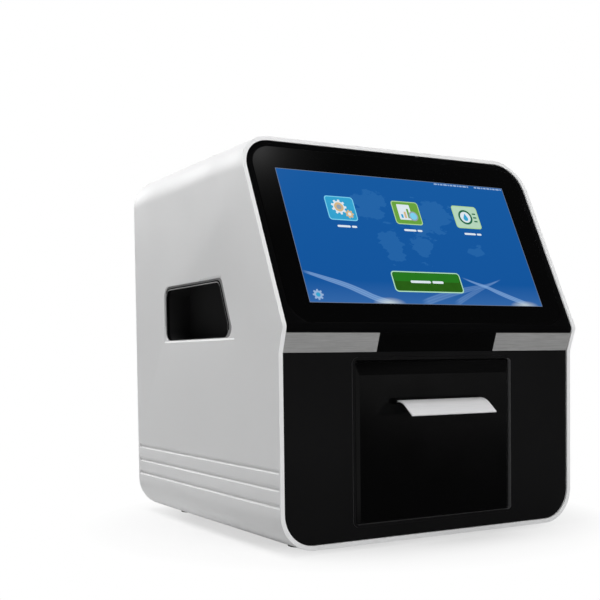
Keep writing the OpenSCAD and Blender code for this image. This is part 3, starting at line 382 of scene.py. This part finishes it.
MATERIALS = {
    "case_plastic": moulded("case_plastic", (0.78, 0.783, 0.786), 0.42, grain=0.45, depth=0.008,
                            vary=0.012, worn=1.0, shine=0.25),
    "black_plastic": moulded("black_plastic", (0.0062, 0.0062, 0.0065), 0.46, grain=0.5, depth=0.02,
                             vary=0.15, worn=2.2, shine=0.14),
    "gloss_black": moulded("gloss_black", (0.0012, 0.0012, 0.0013), 0.2, grain=4, depth=0.004,
                           vary=0.2, worn=3.0, shine=0.3),
    "grey_plastic": moulded("grey_plastic", (0.06, 0.06, 0.063), 0.42, grain=0.6, depth=0.02,
                            vary=0.1, worn=1.6, shine=0.4),
    "display": glow("display_panel", (0.006, 0.09, 0.33)),
    "touch_glass": black_glass("touch_glass"),
    "clear_glass": clear_glass("clear_glass"),
    "brushed_metal": brushed("brushed_metal", (0.48, 0.48, 0.476), 0.36, along=(1, 26, 26),
                             vary=0.2, metallic=0.45),
    "lip_metal": brushed("lip_metal", (0.9, 0.9, 0.91), 0.4, along=(1, 30, 30), scale=50,
                         depth=0.003, vary=0.05, metallic=0.3),
    "sheet_metal": turned("sheet_metal", (0.6, 0.61, 0.62), 0.38),
    "steel": turned("steel", (0.52, 0.52, 0.53), 0.3),
    "brass_parts": turned("brass_parts", (0.72, 0.52, 0.24), 0.28),
    "ivory_plastic": moulded("ivory_plastic", (0.72, 0.69, 0.6), 0.45, grain=0.7, vary=0.03,
                             worn=1.1),
    "board_green": circuit_board("board_green"),
    "foot_rubber": rubber("foot_rubber", (0.018, 0.018, 0.018)),
    "seal_rubber": rubber("seal_rubber", (0.012, 0.012, 0.012)),
}

# Nodes that share a slot with others but look a little different
GRIP_PLASTIC = moulded("grip_plastic", (0.021, 0.021, 0.0215), 0.75, depth=0.03, vary=0.1, shine=0.03)
OWN_FINISH = {
    "front_bezel": moulded("bezel_plastic", (0.0022, 0.0022, 0.0024), 0.42, grain=0.5, depth=0.02,
                           vary=0.15, worn=2.5, shine=0.07),
    # The liner's inner walls are painted pale grey behind its black front: a painted highlight for the
    # inner wall that catches the light
    "door_frame": moulded("liner_painted_lit_walls", (0.16, 0.16, 0.163), 0.46, grain=0.6, depth=0.02,
                          vary=0.1, worn=1.0, shine=0.14, front=(0.0062, 0.0062, 0.0065)),
    "grip_pocket_left": GRIP_PLASTIC,
    "grip_pocket_right": GRIP_PLASTIC,
}

# Trim inside the side openings, with painted shade, a painted highlight and a painted shadow line
# Mid grey lip that shows along the top and front of each opening: painted shade standing in for the pale
# wall edge in shadow
GRIP_LIP_PAINTED_SHADE = moulded("grip_lip_painted_shade", (0.3, 0.3, 0.303), 0.75, grain=0.6, vary=0.1, worn=1.0,
                   shine=0.03)
# Near-black finish for the liner, and for the dark wire beside the bead, which is a painted shadow line
# and not a real groove
GRIP_LINER_AND_SHADOW_LINE = moulded("grip_groove_plastic", (0.004, 0.004, 0.004), 0.8, grain=0.6, vary=0.1,
                      worn=1.0, shine=0.02)
# A paler bead for the cup's rim, laid only along the top and front: a painted highlight where the rim
# catches the light
GRIP_BEAD_HIGHLIGHT = moulded("grip_bead_plastic", (0.05, 0.05, 0.052), 0.35, grain=0.6, vary=0.1, worn=1.2,
                    shine=0.4)


# Colours of what is shown on the display
LIT = {
    "pale_rim": glow("screen_pale_rim", (0.16, 0.2, 0.27), scale=400),
    "faint": glow("screen_faint", (0.3, 0.44, 0.68), scale=400),
    "white": glow("screen_white", (0.72, 0.8, 0.86), scale=400),
    "grey": glow("screen_grey", (0.3, 0.36, 0.42), scale=400),
    "cyan": glow("screen_cyan", (0.035, 0.36, 0.62), scale=300),
    "cyan_pale": glow("screen_cyan_pale", (0.2, 0.62, 0.85), scale=300),
    "green": glow("screen_green", (0.14, 0.36, 0.05), scale=300),
    "green_pale": glow("screen_green_pale", (0.42, 0.66, 0.3), scale=300),
    "mint": glow("screen_mint", (0.46, 0.66, 0.5), scale=300),
    "rim_green": glow("screen_rim_green", (0.42, 0.72, 0.5), scale=300),
    "dark_green": glow("screen_dark_green", (0.02, 0.14, 0.07), scale=300),
    "button": glow("screen_button", (0.022, 0.11, 0.008), scale=160, vary=0.2),
    "button_top": glow("screen_button_top", (0.02, 0.18, 0.014), scale=160),
    "amber": glow("screen_amber", (0.66, 0.46, 0.24), scale=300),
}


# Meshes

def new_piece(name, mesh, body, material):
    """A mesh as a piece of its own that rides a body, in one material."""
    piece = bpy.data.objects.new(name, mesh)
    bpy.context.scene.collection.objects.link(piece)
    mesh.materials.clear()
    mesh.materials.append(material)
    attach(piece, body)
    return piece


def smooth(mesh, angle=38):
    mesh.shade_smooth()
    mesh.set_sharp_from_angle(angle=math.radians(angle))


def edged(node, width, segments=2, wide=None, wide_width=None, sharp_from=28):
    """A CAD node's own shape with rounded edges. wide says which edge middles get wide_width."""
    merge_gap = 0.002
    flat_angle = math.radians(1.2)
    mesh = frame["nodes"][node].data.copy()
    shape = bmesh.new()
    shape.from_mesh(mesh)
    bmesh.ops.remove_doubles(shape, verts=shape.verts, dist=merge_gap * MM)
    bmesh.ops.dissolve_limit(shape, angle_limit=flat_angle, verts=shape.verts, edges=shape.edges)
    largest = wide_width or width
    weights = []
    for edge in shape.edges:
        sharp = len(edge.link_faces) == 2 and edge.calc_face_angle(0) > math.radians(sharp_from)
        middle = (edge.verts[0].co + edge.verts[1].co) / 2
        size = largest if wide and wide(middle) else width
        weights.append(size / largest if sharp else 0.0)
    shape.to_mesh(mesh)
    shape.free()
    weight = mesh.attributes.new("bevel_weight_edge", "FLOAT", "EDGE")
    weight.data.foreach_set("value", weights)
    smooth(mesh)
    slot = slot_of[node]
    piece = new_piece(node + "_finish", mesh, body_of[node], OWN_FINISH.get(node, MATERIALS[slot]))
    bevel = piece.modifiers.new("Edges", "BEVEL")
    bevel.limit_method = "WEIGHT"
    bevel.width = largest * MM
    bevel.segments = segments
    bevel.use_clamp_overlap = True
    bevel.harden_normals = True
    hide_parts(node)
    return piece


def rounded(w, h, r, x=0.0, y=0.0, steps=7):
    """A round-cornered outline centred on (x, y)."""
    points = []
    for k, (sx, sy) in enumerate(((1, 1), (-1, 1), (-1, -1), (1, -1))):
        for i in range(steps + 1):
            a = math.radians(90 * (k + i / steps))
            points.append((x + sx * (w / 2 - r) + r * math.cos(a), y + sy * (h / 2 - r) + r * math.sin(a)))
    return points


def circle(r, x=0.0, y=0.0, steps=40):
    return [(x + r * math.cos(math.tau * i / steps), y + r * math.sin(math.tau * i / steps))
            for i in range(steps)]


def gear(r, teeth, x=0.0, y=0.0, depth=0.24):
    """A gear outline: each tooth has four corners."""
    points = []
    for i in range(teeth):
        for part, radius in ((-0.3, 1 - depth), (-0.18, 1.0), (0.18, 1.0), (0.3, 1 - depth)):
            a = math.tau * (i + part) / teeth
            points.append((x + r * radius * math.cos(a), y + r * radius * math.sin(a)))
    return points


def drop(r, x, y, steps=24):
    """A droplet outline: round below, with a point above."""
    points = []
    for i in range(steps + 1):
        a = math.radians(150 + 240 * i / steps)
        points.append((x + r * math.cos(a), y + r * math.sin(a)))
    return points + [(x, y + 2.1 * r)]


def plate(name, outline, low, high, matrix, body, material, hole=None):
    """A flat plate from low to high above a face, with an optional hole of as many points."""
    mesh = bpy.data.meshes.new(name)
    shape = bmesh.new()
    rings = []
    for points in (outline, hole) if hole else (outline,):
        rings.append([[shape.verts.new(matrix @ Vector((x, y, z))) for x, y in points]
                      for z in (low, high)])
    n = len(outline)
    for k, (bottom, top) in enumerate(rings):
        for i in range(n):
            j = (i + 1) % n
            side = (bottom[i], bottom[j], top[j], top[i])
            shape.faces.new(side if k == 0 else side[::-1])
    if hole:
        (b0, t0), (b1, t1) = rings
        for i in range(n):
            j = (i + 1) % n
            shape.faces.new((t0[i], t0[j], t1[j], t1[i]))
            shape.faces.new((b0[j], b0[i], b1[i], b1[j]))
    else:
        bottom, top = rings[0]
        shape.faces.new(top)
        shape.faces.new(bottom[::-1])
    bmesh.ops.recalc_face_normals(shape, faces=shape.faces)
    shape.to_mesh(mesh)
    shape.free()
    smooth(mesh, 30)
    return new_piece(name, mesh, body, material)


def tube(name, path, radius, body, material, closed=False, sides=10, aside=(0, 1, 0)):
    """A round wire through the points of a path that never runs along aside."""
    mesh = bpy.data.meshes.new(name)
    shape = bmesh.new()
    count = len(path)
    rings = []
    for i, point in enumerate(path):
        before = path[i - 1] if closed or i else path[i]
        after = path[(i + 1) % count] if closed or i < count - 1 else path[i]
        run = (after - before).normalized()
        side = run.cross(Vector(aside)).normalized()
        lift = run.cross(side).normalized()
        rings.append([shape.verts.new(point + radius * MM * (math.cos(a) * side + math.sin(a) * lift))
                      for a in (math.tau * k / sides for k in range(sides))])
    for i in range(count if closed else count - 1):
        a, b = rings[i], rings[(i + 1) % count]
        for k in range(sides):
            m = (k + 1) % sides
            shape.faces.new((a[k], a[m], b[m], b[k]))
    if not closed:
        shape.faces.new(rings[0][::-1])
        shape.faces.new(rings[-1])
    bmesh.ops.recalc_face_normals(shape, faces=shape.faces)
    shape.to_mesh(mesh)
    shape.free()
    smooth(mesh, 60)
    return new_piece(name, mesh, body, material)


# Housing and fixed pieces with rounded edges

def near_front_rim(middle):
    """True on the rim of the sleeve that stands proud of the front."""
    rim_reach = 1.5
    y = (middle.y - FRONT) / MM
    z = (middle.z - BASE) / MM
    face = -RIDGE_REACH + max(0.0, z - RIDGE_H) * math.tan(SCREEN_LEAN)
    return y < face + rim_reach


def make_finishes():
    """Every node's own shape again, with edges as soft as its material has them."""
    plain_width = 0.22
    case_width, rim_width = 0.35, 1.1
    softer = {"rubber_feet": 0.6, "power_rocker": 0.6, "drawer_handle": 0.35, "drawer_tray": 0.5,
              "front_bezel": 0.4, "screen_glass": 0.5, "power_inlet": 0.5, "switch_housing": 0.5,
              "rear_panel": 0.3, "front_panel": 0.15, "grip_pocket_left": 0.6,
              "grip_pocket_right": 0.6, "handle_base": 0.4, "door_frame": 0.12, "fan_frame": 0.5,
              "power_supply": 0.6, "drive_motor": 0.6, "spindle_motor": 0.6, "badge_plate": 0.2,
              "trim_strip_left": 0.2, "trim_strip_right": 0.2, "fan_rotor": 0.3,
              "light_seal": 0.4, "lamp_housing": 0.4, "optics_block": 0.6}
    own_mesh = ("display_ribbon", "lamp_bulb", "objective_lens")
    for node in frame["nodes"]:
        if node in own_mesh or node == "fan_guard":
            continue
        if node == "outer_case":
            edged(node, case_width, segments=3, wide=near_front_rim, wide_width=rim_width)
        elif node == "drawer_front":
            edged(node, 0.5, segments=3, sharp_from=10)
        else:
            edged(node, softer.get(node, plain_width))
    for node in own_mesh:
        target = frame["nodes"][node]
        target.data.materials.clear()
        target.data.materials.append(MATERIALS[slot_of[node]])


# Lit screen

# How far the picture stands above the glass, and how thick each layer on it is
PICTURE_FACE = 0.05
LAYER = 0.04
# Heights along the screen face: the tiles, their labels, the button and the status line
TILE_S = 96.2
LABEL_S = 81
BUTTON_S = 36.8
STATUS_S = 125.2


def layer(name, outline, level, lit, hole=None):
    """A thin plate on the picture, with level layers under it, in the colour that lit names."""
    plate(name, outline, PICTURE_FACE + level * LAYER, PICTURE_FACE + (level + 1) * LAYER, SCREEN,
          body_of["screen_glass"], LIT[lit], hole)


def make_picture():
    """The lit ground of the display, whose corners are the picture's corners, and its thin rim."""
    sunk = -0.1
    rim_w = 0.35
    rim_r = 0.5
    mesh = bpy.data.meshes.new("screen_picture")
    shape = bmesh.new()
    uv = shape.loops.layers.uv.new("Picture")
    corners = [(0, 0), (1, 0), (1, 1), (0, 1)]
    low, top = [[shape.verts.new(SCREEN @ Vector((LIT_W * (u - 0.5), LIT_LOW + LIT_H * v, level)))
                 for u, v in corners] for level in (sunk, PICTURE_FACE)]
    shape.faces.new(top)
    shape.faces.new(low[::-1])
    for i in range(4):
        j = (i + 1) % 4
        shape.faces.new((low[i], low[j], top[j], top[i]))
    place = {v: corners[i % 4] for i, v in enumerate(low + top)}
    for one in shape.faces:
        for loop in one.loops:
            loop[uv].uv = place[loop.vert]
    shape.to_mesh(mesh)
    shape.free()
    new_piece("screen_picture", mesh, body_of["screen_glass"], wallpaper("wallpaper"))
    middle_s = LIT_LOW + LIT_H / 2
    layer("screen_rim", rounded(LIT_W, LIT_H, rim_r, 0, middle_s), 0, "pale_rim",
          rounded(LIT_W - 2 * rim_w, LIT_H - 2 * rim_w, rim_r, 0, middle_s))


def make_tile(number, x, ground, rim):
    """A tile with a rim and, under it, a label of two bars."""
    tile_w, tile_h, tile_r = 24.5, 20.4, 2.6
    border = 0.8
    ground_r = 2.0
    label_h, label_r = 1.7, 0.8
    layer(f"tile_{number}_rim", rounded(tile_w, tile_h, tile_r, x, TILE_S), 0, rim)
    layer(f"tile_{number}_ground",
          rounded(tile_w - 2 * border, tile_h - 2 * border, ground_r, x, TILE_S), 1, ground)
    layer(f"tile_{number}_label", rounded(11, label_h, label_r, x - 1.6, LABEL_S), 0, "white")
    layer(f"tile_{number}_label_end", rounded(4.4, label_h, label_r, x + 7.2, LABEL_S), 0, "white")


def make_gears(x):
    """A large and a small gear wheel, on a tile."""
    large = (x - 1.6, TILE_S + 1)
    small = (x + 6, TILE_S - 4.6)
    layer("gear_large", gear(6.4, 9, *large), 2, "white")
    layer("gear_large_rim", circle(3.9, *large), 3, "amber")
    layer("gear_large_eye", circle(2.1, *large), 4, "grey")
    layer("gear_small", gear(3.6, 7, *small), 3, "amber")
    layer("gear_small_eye", circle(1.4, *small), 4, "white")


def make_page(x):
    """A page with three bars, and a lens over its corner, on a tile."""
    bars = ((3.2, "cyan"), (5.6, "amber"), (8.2, "green"))
    bar_w, bar_r, bar_step = 1.8, 0.3, 3
    bar_x, bar_foot = x - 5, TILE_S - 4.6
    lens = (x + 5.2, TILE_S - 2.6)
    lens_r, eye_r = 4.2, 3.1
    layer("page", rounded(11.5, 13.5, 0.8, x - 2, TILE_S + 0.6), 2, "white")
    for i, (tall, lit) in enumerate(bars):
        layer(f"page_bar_{i + 1}",
              rounded(bar_w, tall, bar_r, bar_x + bar_step * i, bar_foot + tall / 2), 3, lit)
    layer("lens_rim", circle(lens_r, *lens), 4, "grey", circle(eye_r, *lens))
    layer("lens_eye", circle(eye_r, *lens), 4, "cyan_pale")


def make_dial(x):
    """A dial with a drop in it, and three bars beside it, on a tile."""
    dial = (x - 1, TILE_S)
    dial_r, eye_r = 6.6, 4.9
    bar_w, bar_h, bar_r, bar_step = 3.4, 1.2, 0.5, 3.4
    bar_x, bar_low = x + 8.2, TILE_S - 3.4
    layer("dial_rim", circle(dial_r, *dial), 2, "dark_green", circle(eye_r, *dial))
    layer("dial_eye", circle(eye_r, *dial), 2, "white")
    layer("dial_drop", drop(2.2, x - 1, TILE_S - 1.2), 3, "cyan")
    for i in range(3):
        layer(f"dial_bar_{i + 1}", rounded(bar_w, bar_h, bar_r, bar_x, bar_low + bar_step * i), 3,
              "dark_green")


def make_button(x):
    """A wide button with a lighter upper half and a label of two bars."""
    button_w, button_h = 62, 17.2
    label_h, label_r = 2.0, 0.9
    layer("button_rim", rounded(button_w, button_h, 3, x, BUTTON_S), 0, "rim_green")
    layer("button_ground", rounded(button_w - 1.8, button_h - 1.8, 2.2, x, BUTTON_S), 1, "button")
    layer("button_top", rounded(button_w - 3.4, (button_h - 3) / 2, 1.6, x, BUTTON_S + 3.8), 2,
          "button_top")
    layer("button_label", rounded(18, label_h, label_r, x - 6.5, BUTTON_S), 3, "white")
    layer("button_label_end", rounded(10, label_h, label_r, x + 9, BUTTON_S), 3, "white")


def make_status_lines():
    """Two lines of short bars in the upper right corner of the display."""
    lines = ((35.2, 71.2), (74.8, 102.8))
    widths = (3.1, 1.6, 2.4, 3.6, 1.4, 2.6)
    dash_h, dash_r, gap = 1.3, 0.5, 0.7
    most = 40
    for line, (x, last) in enumerate(lines):
        for i in range(most):
            width = widths[(i + 2 * line) % len(widths)]
            if x + width > last:
                break
            layer(f"status_{line + 1}_dash_{i + 1}",
                  rounded(width, dash_h, dash_r, x + width / 2, STATUS_S), 0, "faint")
            x += width + gap


def make_screen():
    """The lit picture of the display, and what is shown on it, as thin plates."""
    left_x, middle_x, right_x = -57.5, 0.5, 57
    corner = (-95.8, 24.4)
    make_picture()
    make_tile(1, left_x, "cyan", "cyan_pale")
    make_gears(left_x)
    make_tile(2, middle_x, "green", "green_pale")
    make_page(middle_x)
    make_tile(3, right_x, "mint", "green_pale")
    make_dial(right_x)
    make_button(middle_x)
    make_status_lines()
    layer("corner_gear", gear(4.3, 8, *corner), 0, "faint")
    layer("corner_gear_eye", circle(1.7, *corner), 1, "cyan")


# Side grips

def inset(corners, reaches):
    """The corners of an outline whose edges, one on from each corner, are moved inwards."""
    lines = []
    for a, b, reach in zip(corners, corners[1:] + corners[:1], reaches):
        run = (Vector(b) - Vector(a)).normalized()
        lines.append((Vector(a) + Vector((-run.y, run.x)) * reach, run))
    points = []
    for i, (start, run) in enumerate(lines):
        before, before_run = lines[i - 1]
        along = (start - before).cross(run) / before_run.cross(run)
        points.append(before + before_run * along)
    return points


def rounded_off(corners, r, steps=8):
    """An outline, running counterclockwise, with its corners turned into arcs."""
    points = []
    for i, corner in enumerate(corners):
        back = (corners[i - 1] - corner).normalized()
        on = (corners[(i + 1) % len(corners)] - corner).normalized()
        half = back.angle(on) / 2
        middle = corner + (back + on).normalized() * r / math.sin(half)
        first = corner + back * r / math.tan(half) - middle
        for k in range(steps + 1):
            turn = Matrix.Rotation((math.pi - 2 * half) * k / steps, 2)
            points.append(middle + turn @ first)
    return points


def make_grips():
    """The lip and liner of each grip cup inside its opening, with a bead and a dark wire along the top and
    front: the paler bead is a painted highlight, the wire a painted shadow line.
    """
    body = body_of["outer_case"]
    half_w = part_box("outer_case")[1].x / MM
    opening = [(68, 146), (198, 146), (198, 190.5), (88, 190.5)]
    opening_r, inner_r = 8, 7.6
    side_plane = frame_of(at(0, 0, 0), (0, 1, 0), (0, 0, 1))
    gap = 0.15
    bottom, rear, top, front = 0.4, 0.4, 2.8, 4.8
    # How far outside the bead the dark wire of painted shadow runs
    shadow_line_off = 0.85
    wire_r = 0.5
    lip_depth, liner_depth, cup_depth = 1.3, 1.9, 4.4
    outer = rounded_off(inset(opening, [gap] * 4), opening_r - gap)
    inner = rounded_off(inset(opening, [bottom, rear, top, front]), inner_r)
    groove = rounded_off(inset(opening, [bottom, rear, top - shadow_line_off, front - shadow_line_off]), inner_r)
    corner = len(inner) // 4
    for side, sign in (("left", -1), ("right", 1)):
        for name, near, far, material in (("lip", lip_depth, liner_depth, GRIP_LIP_PAINTED_SHADE),
                                          ("liner", liner_depth, cup_depth, GRIP_LINER_AND_SHADOW_LINE)):
            low, high = sorted((sign * (half_w - far), sign * (half_w - near)))
            plate(f"grip_{name}_{side}", outer, low, high, side_plane, body, material, inner)
        # Along the top and front only: the bead, paler than the cup, is a painted highlight on the rim,
        # and the dark wire beside it is a painted shadow line
        for name, line, material in (("bead", inner, GRIP_BEAD_HIGHLIGHT), ("groove", groove, GRIP_LINER_AND_SHADOW_LINE)):
            upper = line[2 * corner + corner // 2:] + line[:corner // 2]
            path = [at(sign * (half_w - lip_depth), point.x, point.y) for point in upper]
            tube(f"grip_{name}_{side}", path, wire_r, body, material,
                 aside=(1, 0, 0))


# Rear details

def make_rear():
    """The wire guard of the fan: four rings, four spokes, and an eye round each screw."""
    body = body_of["fan_guard"]
    steel = MATERIALS["steel"]
    low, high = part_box("fan_guard")
    fan_z = ((low.z + high.z) / 2 - BASE) / MM
    wire_r, eye_wire_r = 0.7, 0.65
    ring_y, spoke_y, end_y, eye_y = REAR + 1.5, REAR + 0.5, REAR + 0.7, REAR + 0.5
    ring_radii = (10, 18, 26, 34)
    hub_r, eye_r, eye_gap = 9.5, 2.8, 3
    screw_in = 3.5

    def ring_path(r, x, y, z, steps):
        return [at(x + r * math.cos(a), y, z + r * math.sin(a))
                for a in (math.tau * i / steps for i in range(steps))]

    rings = [tube(f"guard_ring_{r}", ring_path(r, 0, ring_y, fan_z, 64), wire_r, body, steel,
                  closed=True) for r in ring_radii]
    diagonal = math.sqrt(0.5)
    hub = hub_r * diagonal
    rim = ring_radii[-1] * diagonal
    screw = (high.x - low.x) / 2 / MM - screw_in
    end = screw - eye_gap * diagonal
    for k, (sx, sz) in enumerate(((1, 1), (-1, 1), (-1, -1), (1, -1))):
        path = [at(sx * hub, spoke_y, fan_z + sz * hub), at(sx * rim, spoke_y, fan_z + sz * rim),
                at(sx * end, end_y, fan_z + sz * end)]
        tube(f"guard_spoke_{k + 1}", path, wire_r, body, steel)
        eye = ring_path(eye_r, sx * screw, eye_y, fan_z + sz * screw, 24)
        tube(f"guard_eye_{k + 1}", eye, eye_wire_r, body, steel, closed=True)
    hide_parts("fan_guard")


# Studio

def make_camera():
    """The camera of the photograph, fitted to the sleeve's and the panels' corners."""
    sensor_mm, view_end = 36, 50
    place = (-444.8, -587.66, 130.31)
    yaw, pitch, roll = math.radians(29.41), math.radians(2.5), math.radians(-0.72)
    focal_px, middle_x, middle_y, width_px = 1008.2, 300.0, 402.43, 600
    ahead = Vector((math.sin(yaw) * math.cos(pitch), math.cos(yaw) * math.cos(pitch),
                    -math.sin(pitch)))
    right = Vector((math.cos(yaw), -math.sin(yaw), 0))
    up = right.cross(ahead)
    turned_right = right * math.cos(roll) + up * math.sin(roll)
    turned_up = up * math.cos(roll) - right * math.sin(roll)
    data = bpy.data.cameras.new("camera")
    data.sensor_width = sensor_mm
    data.lens = focal_px * sensor_mm / width_px
    data.shift_x = (width_px / 2 - middle_x) / width_px
    data.shift_y = (middle_y - width_px / 2) / width_px
    data.clip_end = view_end
    camera = bpy.data.objects.new("camera", data)
    camera.matrix_world = (Matrix.Translation(at(*place))
                           @ Matrix((turned_right, turned_up, -ahead)).transposed().to_4x4())
    bpy.context.scene.collection.objects.link(camera)
    bpy.context.scene.camera = camera


def make_world():
    """White to look at, soft and even as light, and in gloss a white set with a dim front."""
    front_y, behind_y = -0.1, 0.45
    world = bpy.data.worlds.new("studio")
    bpy.context.scene.world = world
    world.use_nodes = True
    n = Nodes(world.node_tree)
    way = n.add("ShaderNodeTexCoord").outputs["Generated"]
    behind = n.spread(n.split(way)["Y"], front_y, behind_y, DIM_FRONT, 1.0)
    off_lamp = n.math("SUBTRACT", 1.0, n.vector("DOT_PRODUCT", way, LAMP_WAY).outputs["Value"])
    lamp = n.math("DIVIDE", 1.0, n.math("ADD", 1.0, n.math("MULTIPLY", off_lamp, LAMP_FADE)))
    in_gloss = n.math("MAXIMUM", behind, lamp)
    for window_way, edge, bright in WINDOWS:
        near = n.vector("DOT_PRODUCT", way, window_way).outputs["Value"]
        in_gloss = n.math("MAXIMUM", in_gloss, n.spread(near, edge, 1.0, 0.0, bright))
    plain = n.spread(n.sees_background(), 0, 1, AMBIENT, 1.0)
    strength = n.add("ShaderNodeMix", {0: n.sees_gloss(), 2: plain, 3: in_gloss}).outputs[0]
    background = world.node_tree.nodes["Background"]
    background.inputs["Color"].default_value = (1, 1, 1, 1)
    n.put(background.inputs["Strength"], strength)


def make_floor():
    """A white paper floor that runs into the background away from the part."""
    floor_size = 60
    far_from, far_to = 0.7, 3.0
    left_from, left_to = -0.1, -0.2
    behind_y, front_y = 0.1, -0.12
    bpy.ops.mesh.primitive_plane_add(size=floor_size, location=(0, 0, 0))
    floor = bpy.context.object
    floor.name = "floor"
    f = Finish("floor_paper")
    f.set(Base_Color=f.mix(f.noise(3, 3), (0.74, 0.74, 0.74), (0.77, 0.77, 0.77)), Roughness=0.9,
          Specular_IOR_Level=0.1)
    gloss = f.sees_gloss()
    where = f.split(f.place)
    length = f.vector("LENGTH", f.place).outputs["Value"]
    far = f.spread(length, far_from, far_to, DIM_FRONT, FAR_FRONT)
    left = f.spread(where["X"], left_from, left_to, DIM_FRONT, LEFT_FRONT)
    darkness = f.math("SUBTRACT", 1.0, f.math("MAXIMUM", far, left))
    in_front = f.spread(where["Y"], behind_y, front_y, 0, 1)
    dim = f.math("MULTIPLY", f.math("MULTIPLY", in_front, darkness), gloss)
    white = f.add("ShaderNodeEmission", {"Strength": f.math("SUBTRACT", 1.0, dim)})
    away = f.spread(length, *FLOOR_FADE, FLOOR_WHITE, 1)
    fade = f.math("MAXIMUM", f.math("MULTIPLY", away, f.sees_background()), gloss)
    blend = f.add("ShaderNodeMixShader", {0: fade, 1: f.shader.outputs[0], 2: white.outputs[0]})
    f.tree.links.new(blend.outputs[0], f.tree.nodes["Material Output"].inputs["Surface"])
    floor.data.materials.append(f.material)


def make_lights():
    """Soft lamps that light the part, and aren't seen in its gloss."""
    for name, (place, power) in LAMPS.items():
        data = bpy.data.lights.new(name, "AREA")
        data.size = LAMP_SIZE
        data.energy = power
        lamp = bpy.data.objects.new(name, data)
        lamp.location = place
        lamp.rotation_mode = "QUATERNION"
        lamp.rotation_quaternion = (Vector(LIT_POINT) - Vector(place)).to_track_quat("-Z", "Y")
        lamp.visible_glossy = False
        bpy.context.scene.collection.objects.link(lamp)


make_camera()
make_finishes()
make_screen()
make_grips()
make_rear()
make_world()
make_floor()
make_lights()
bpy.context.scene.view_settings.view_transform = "Standard"
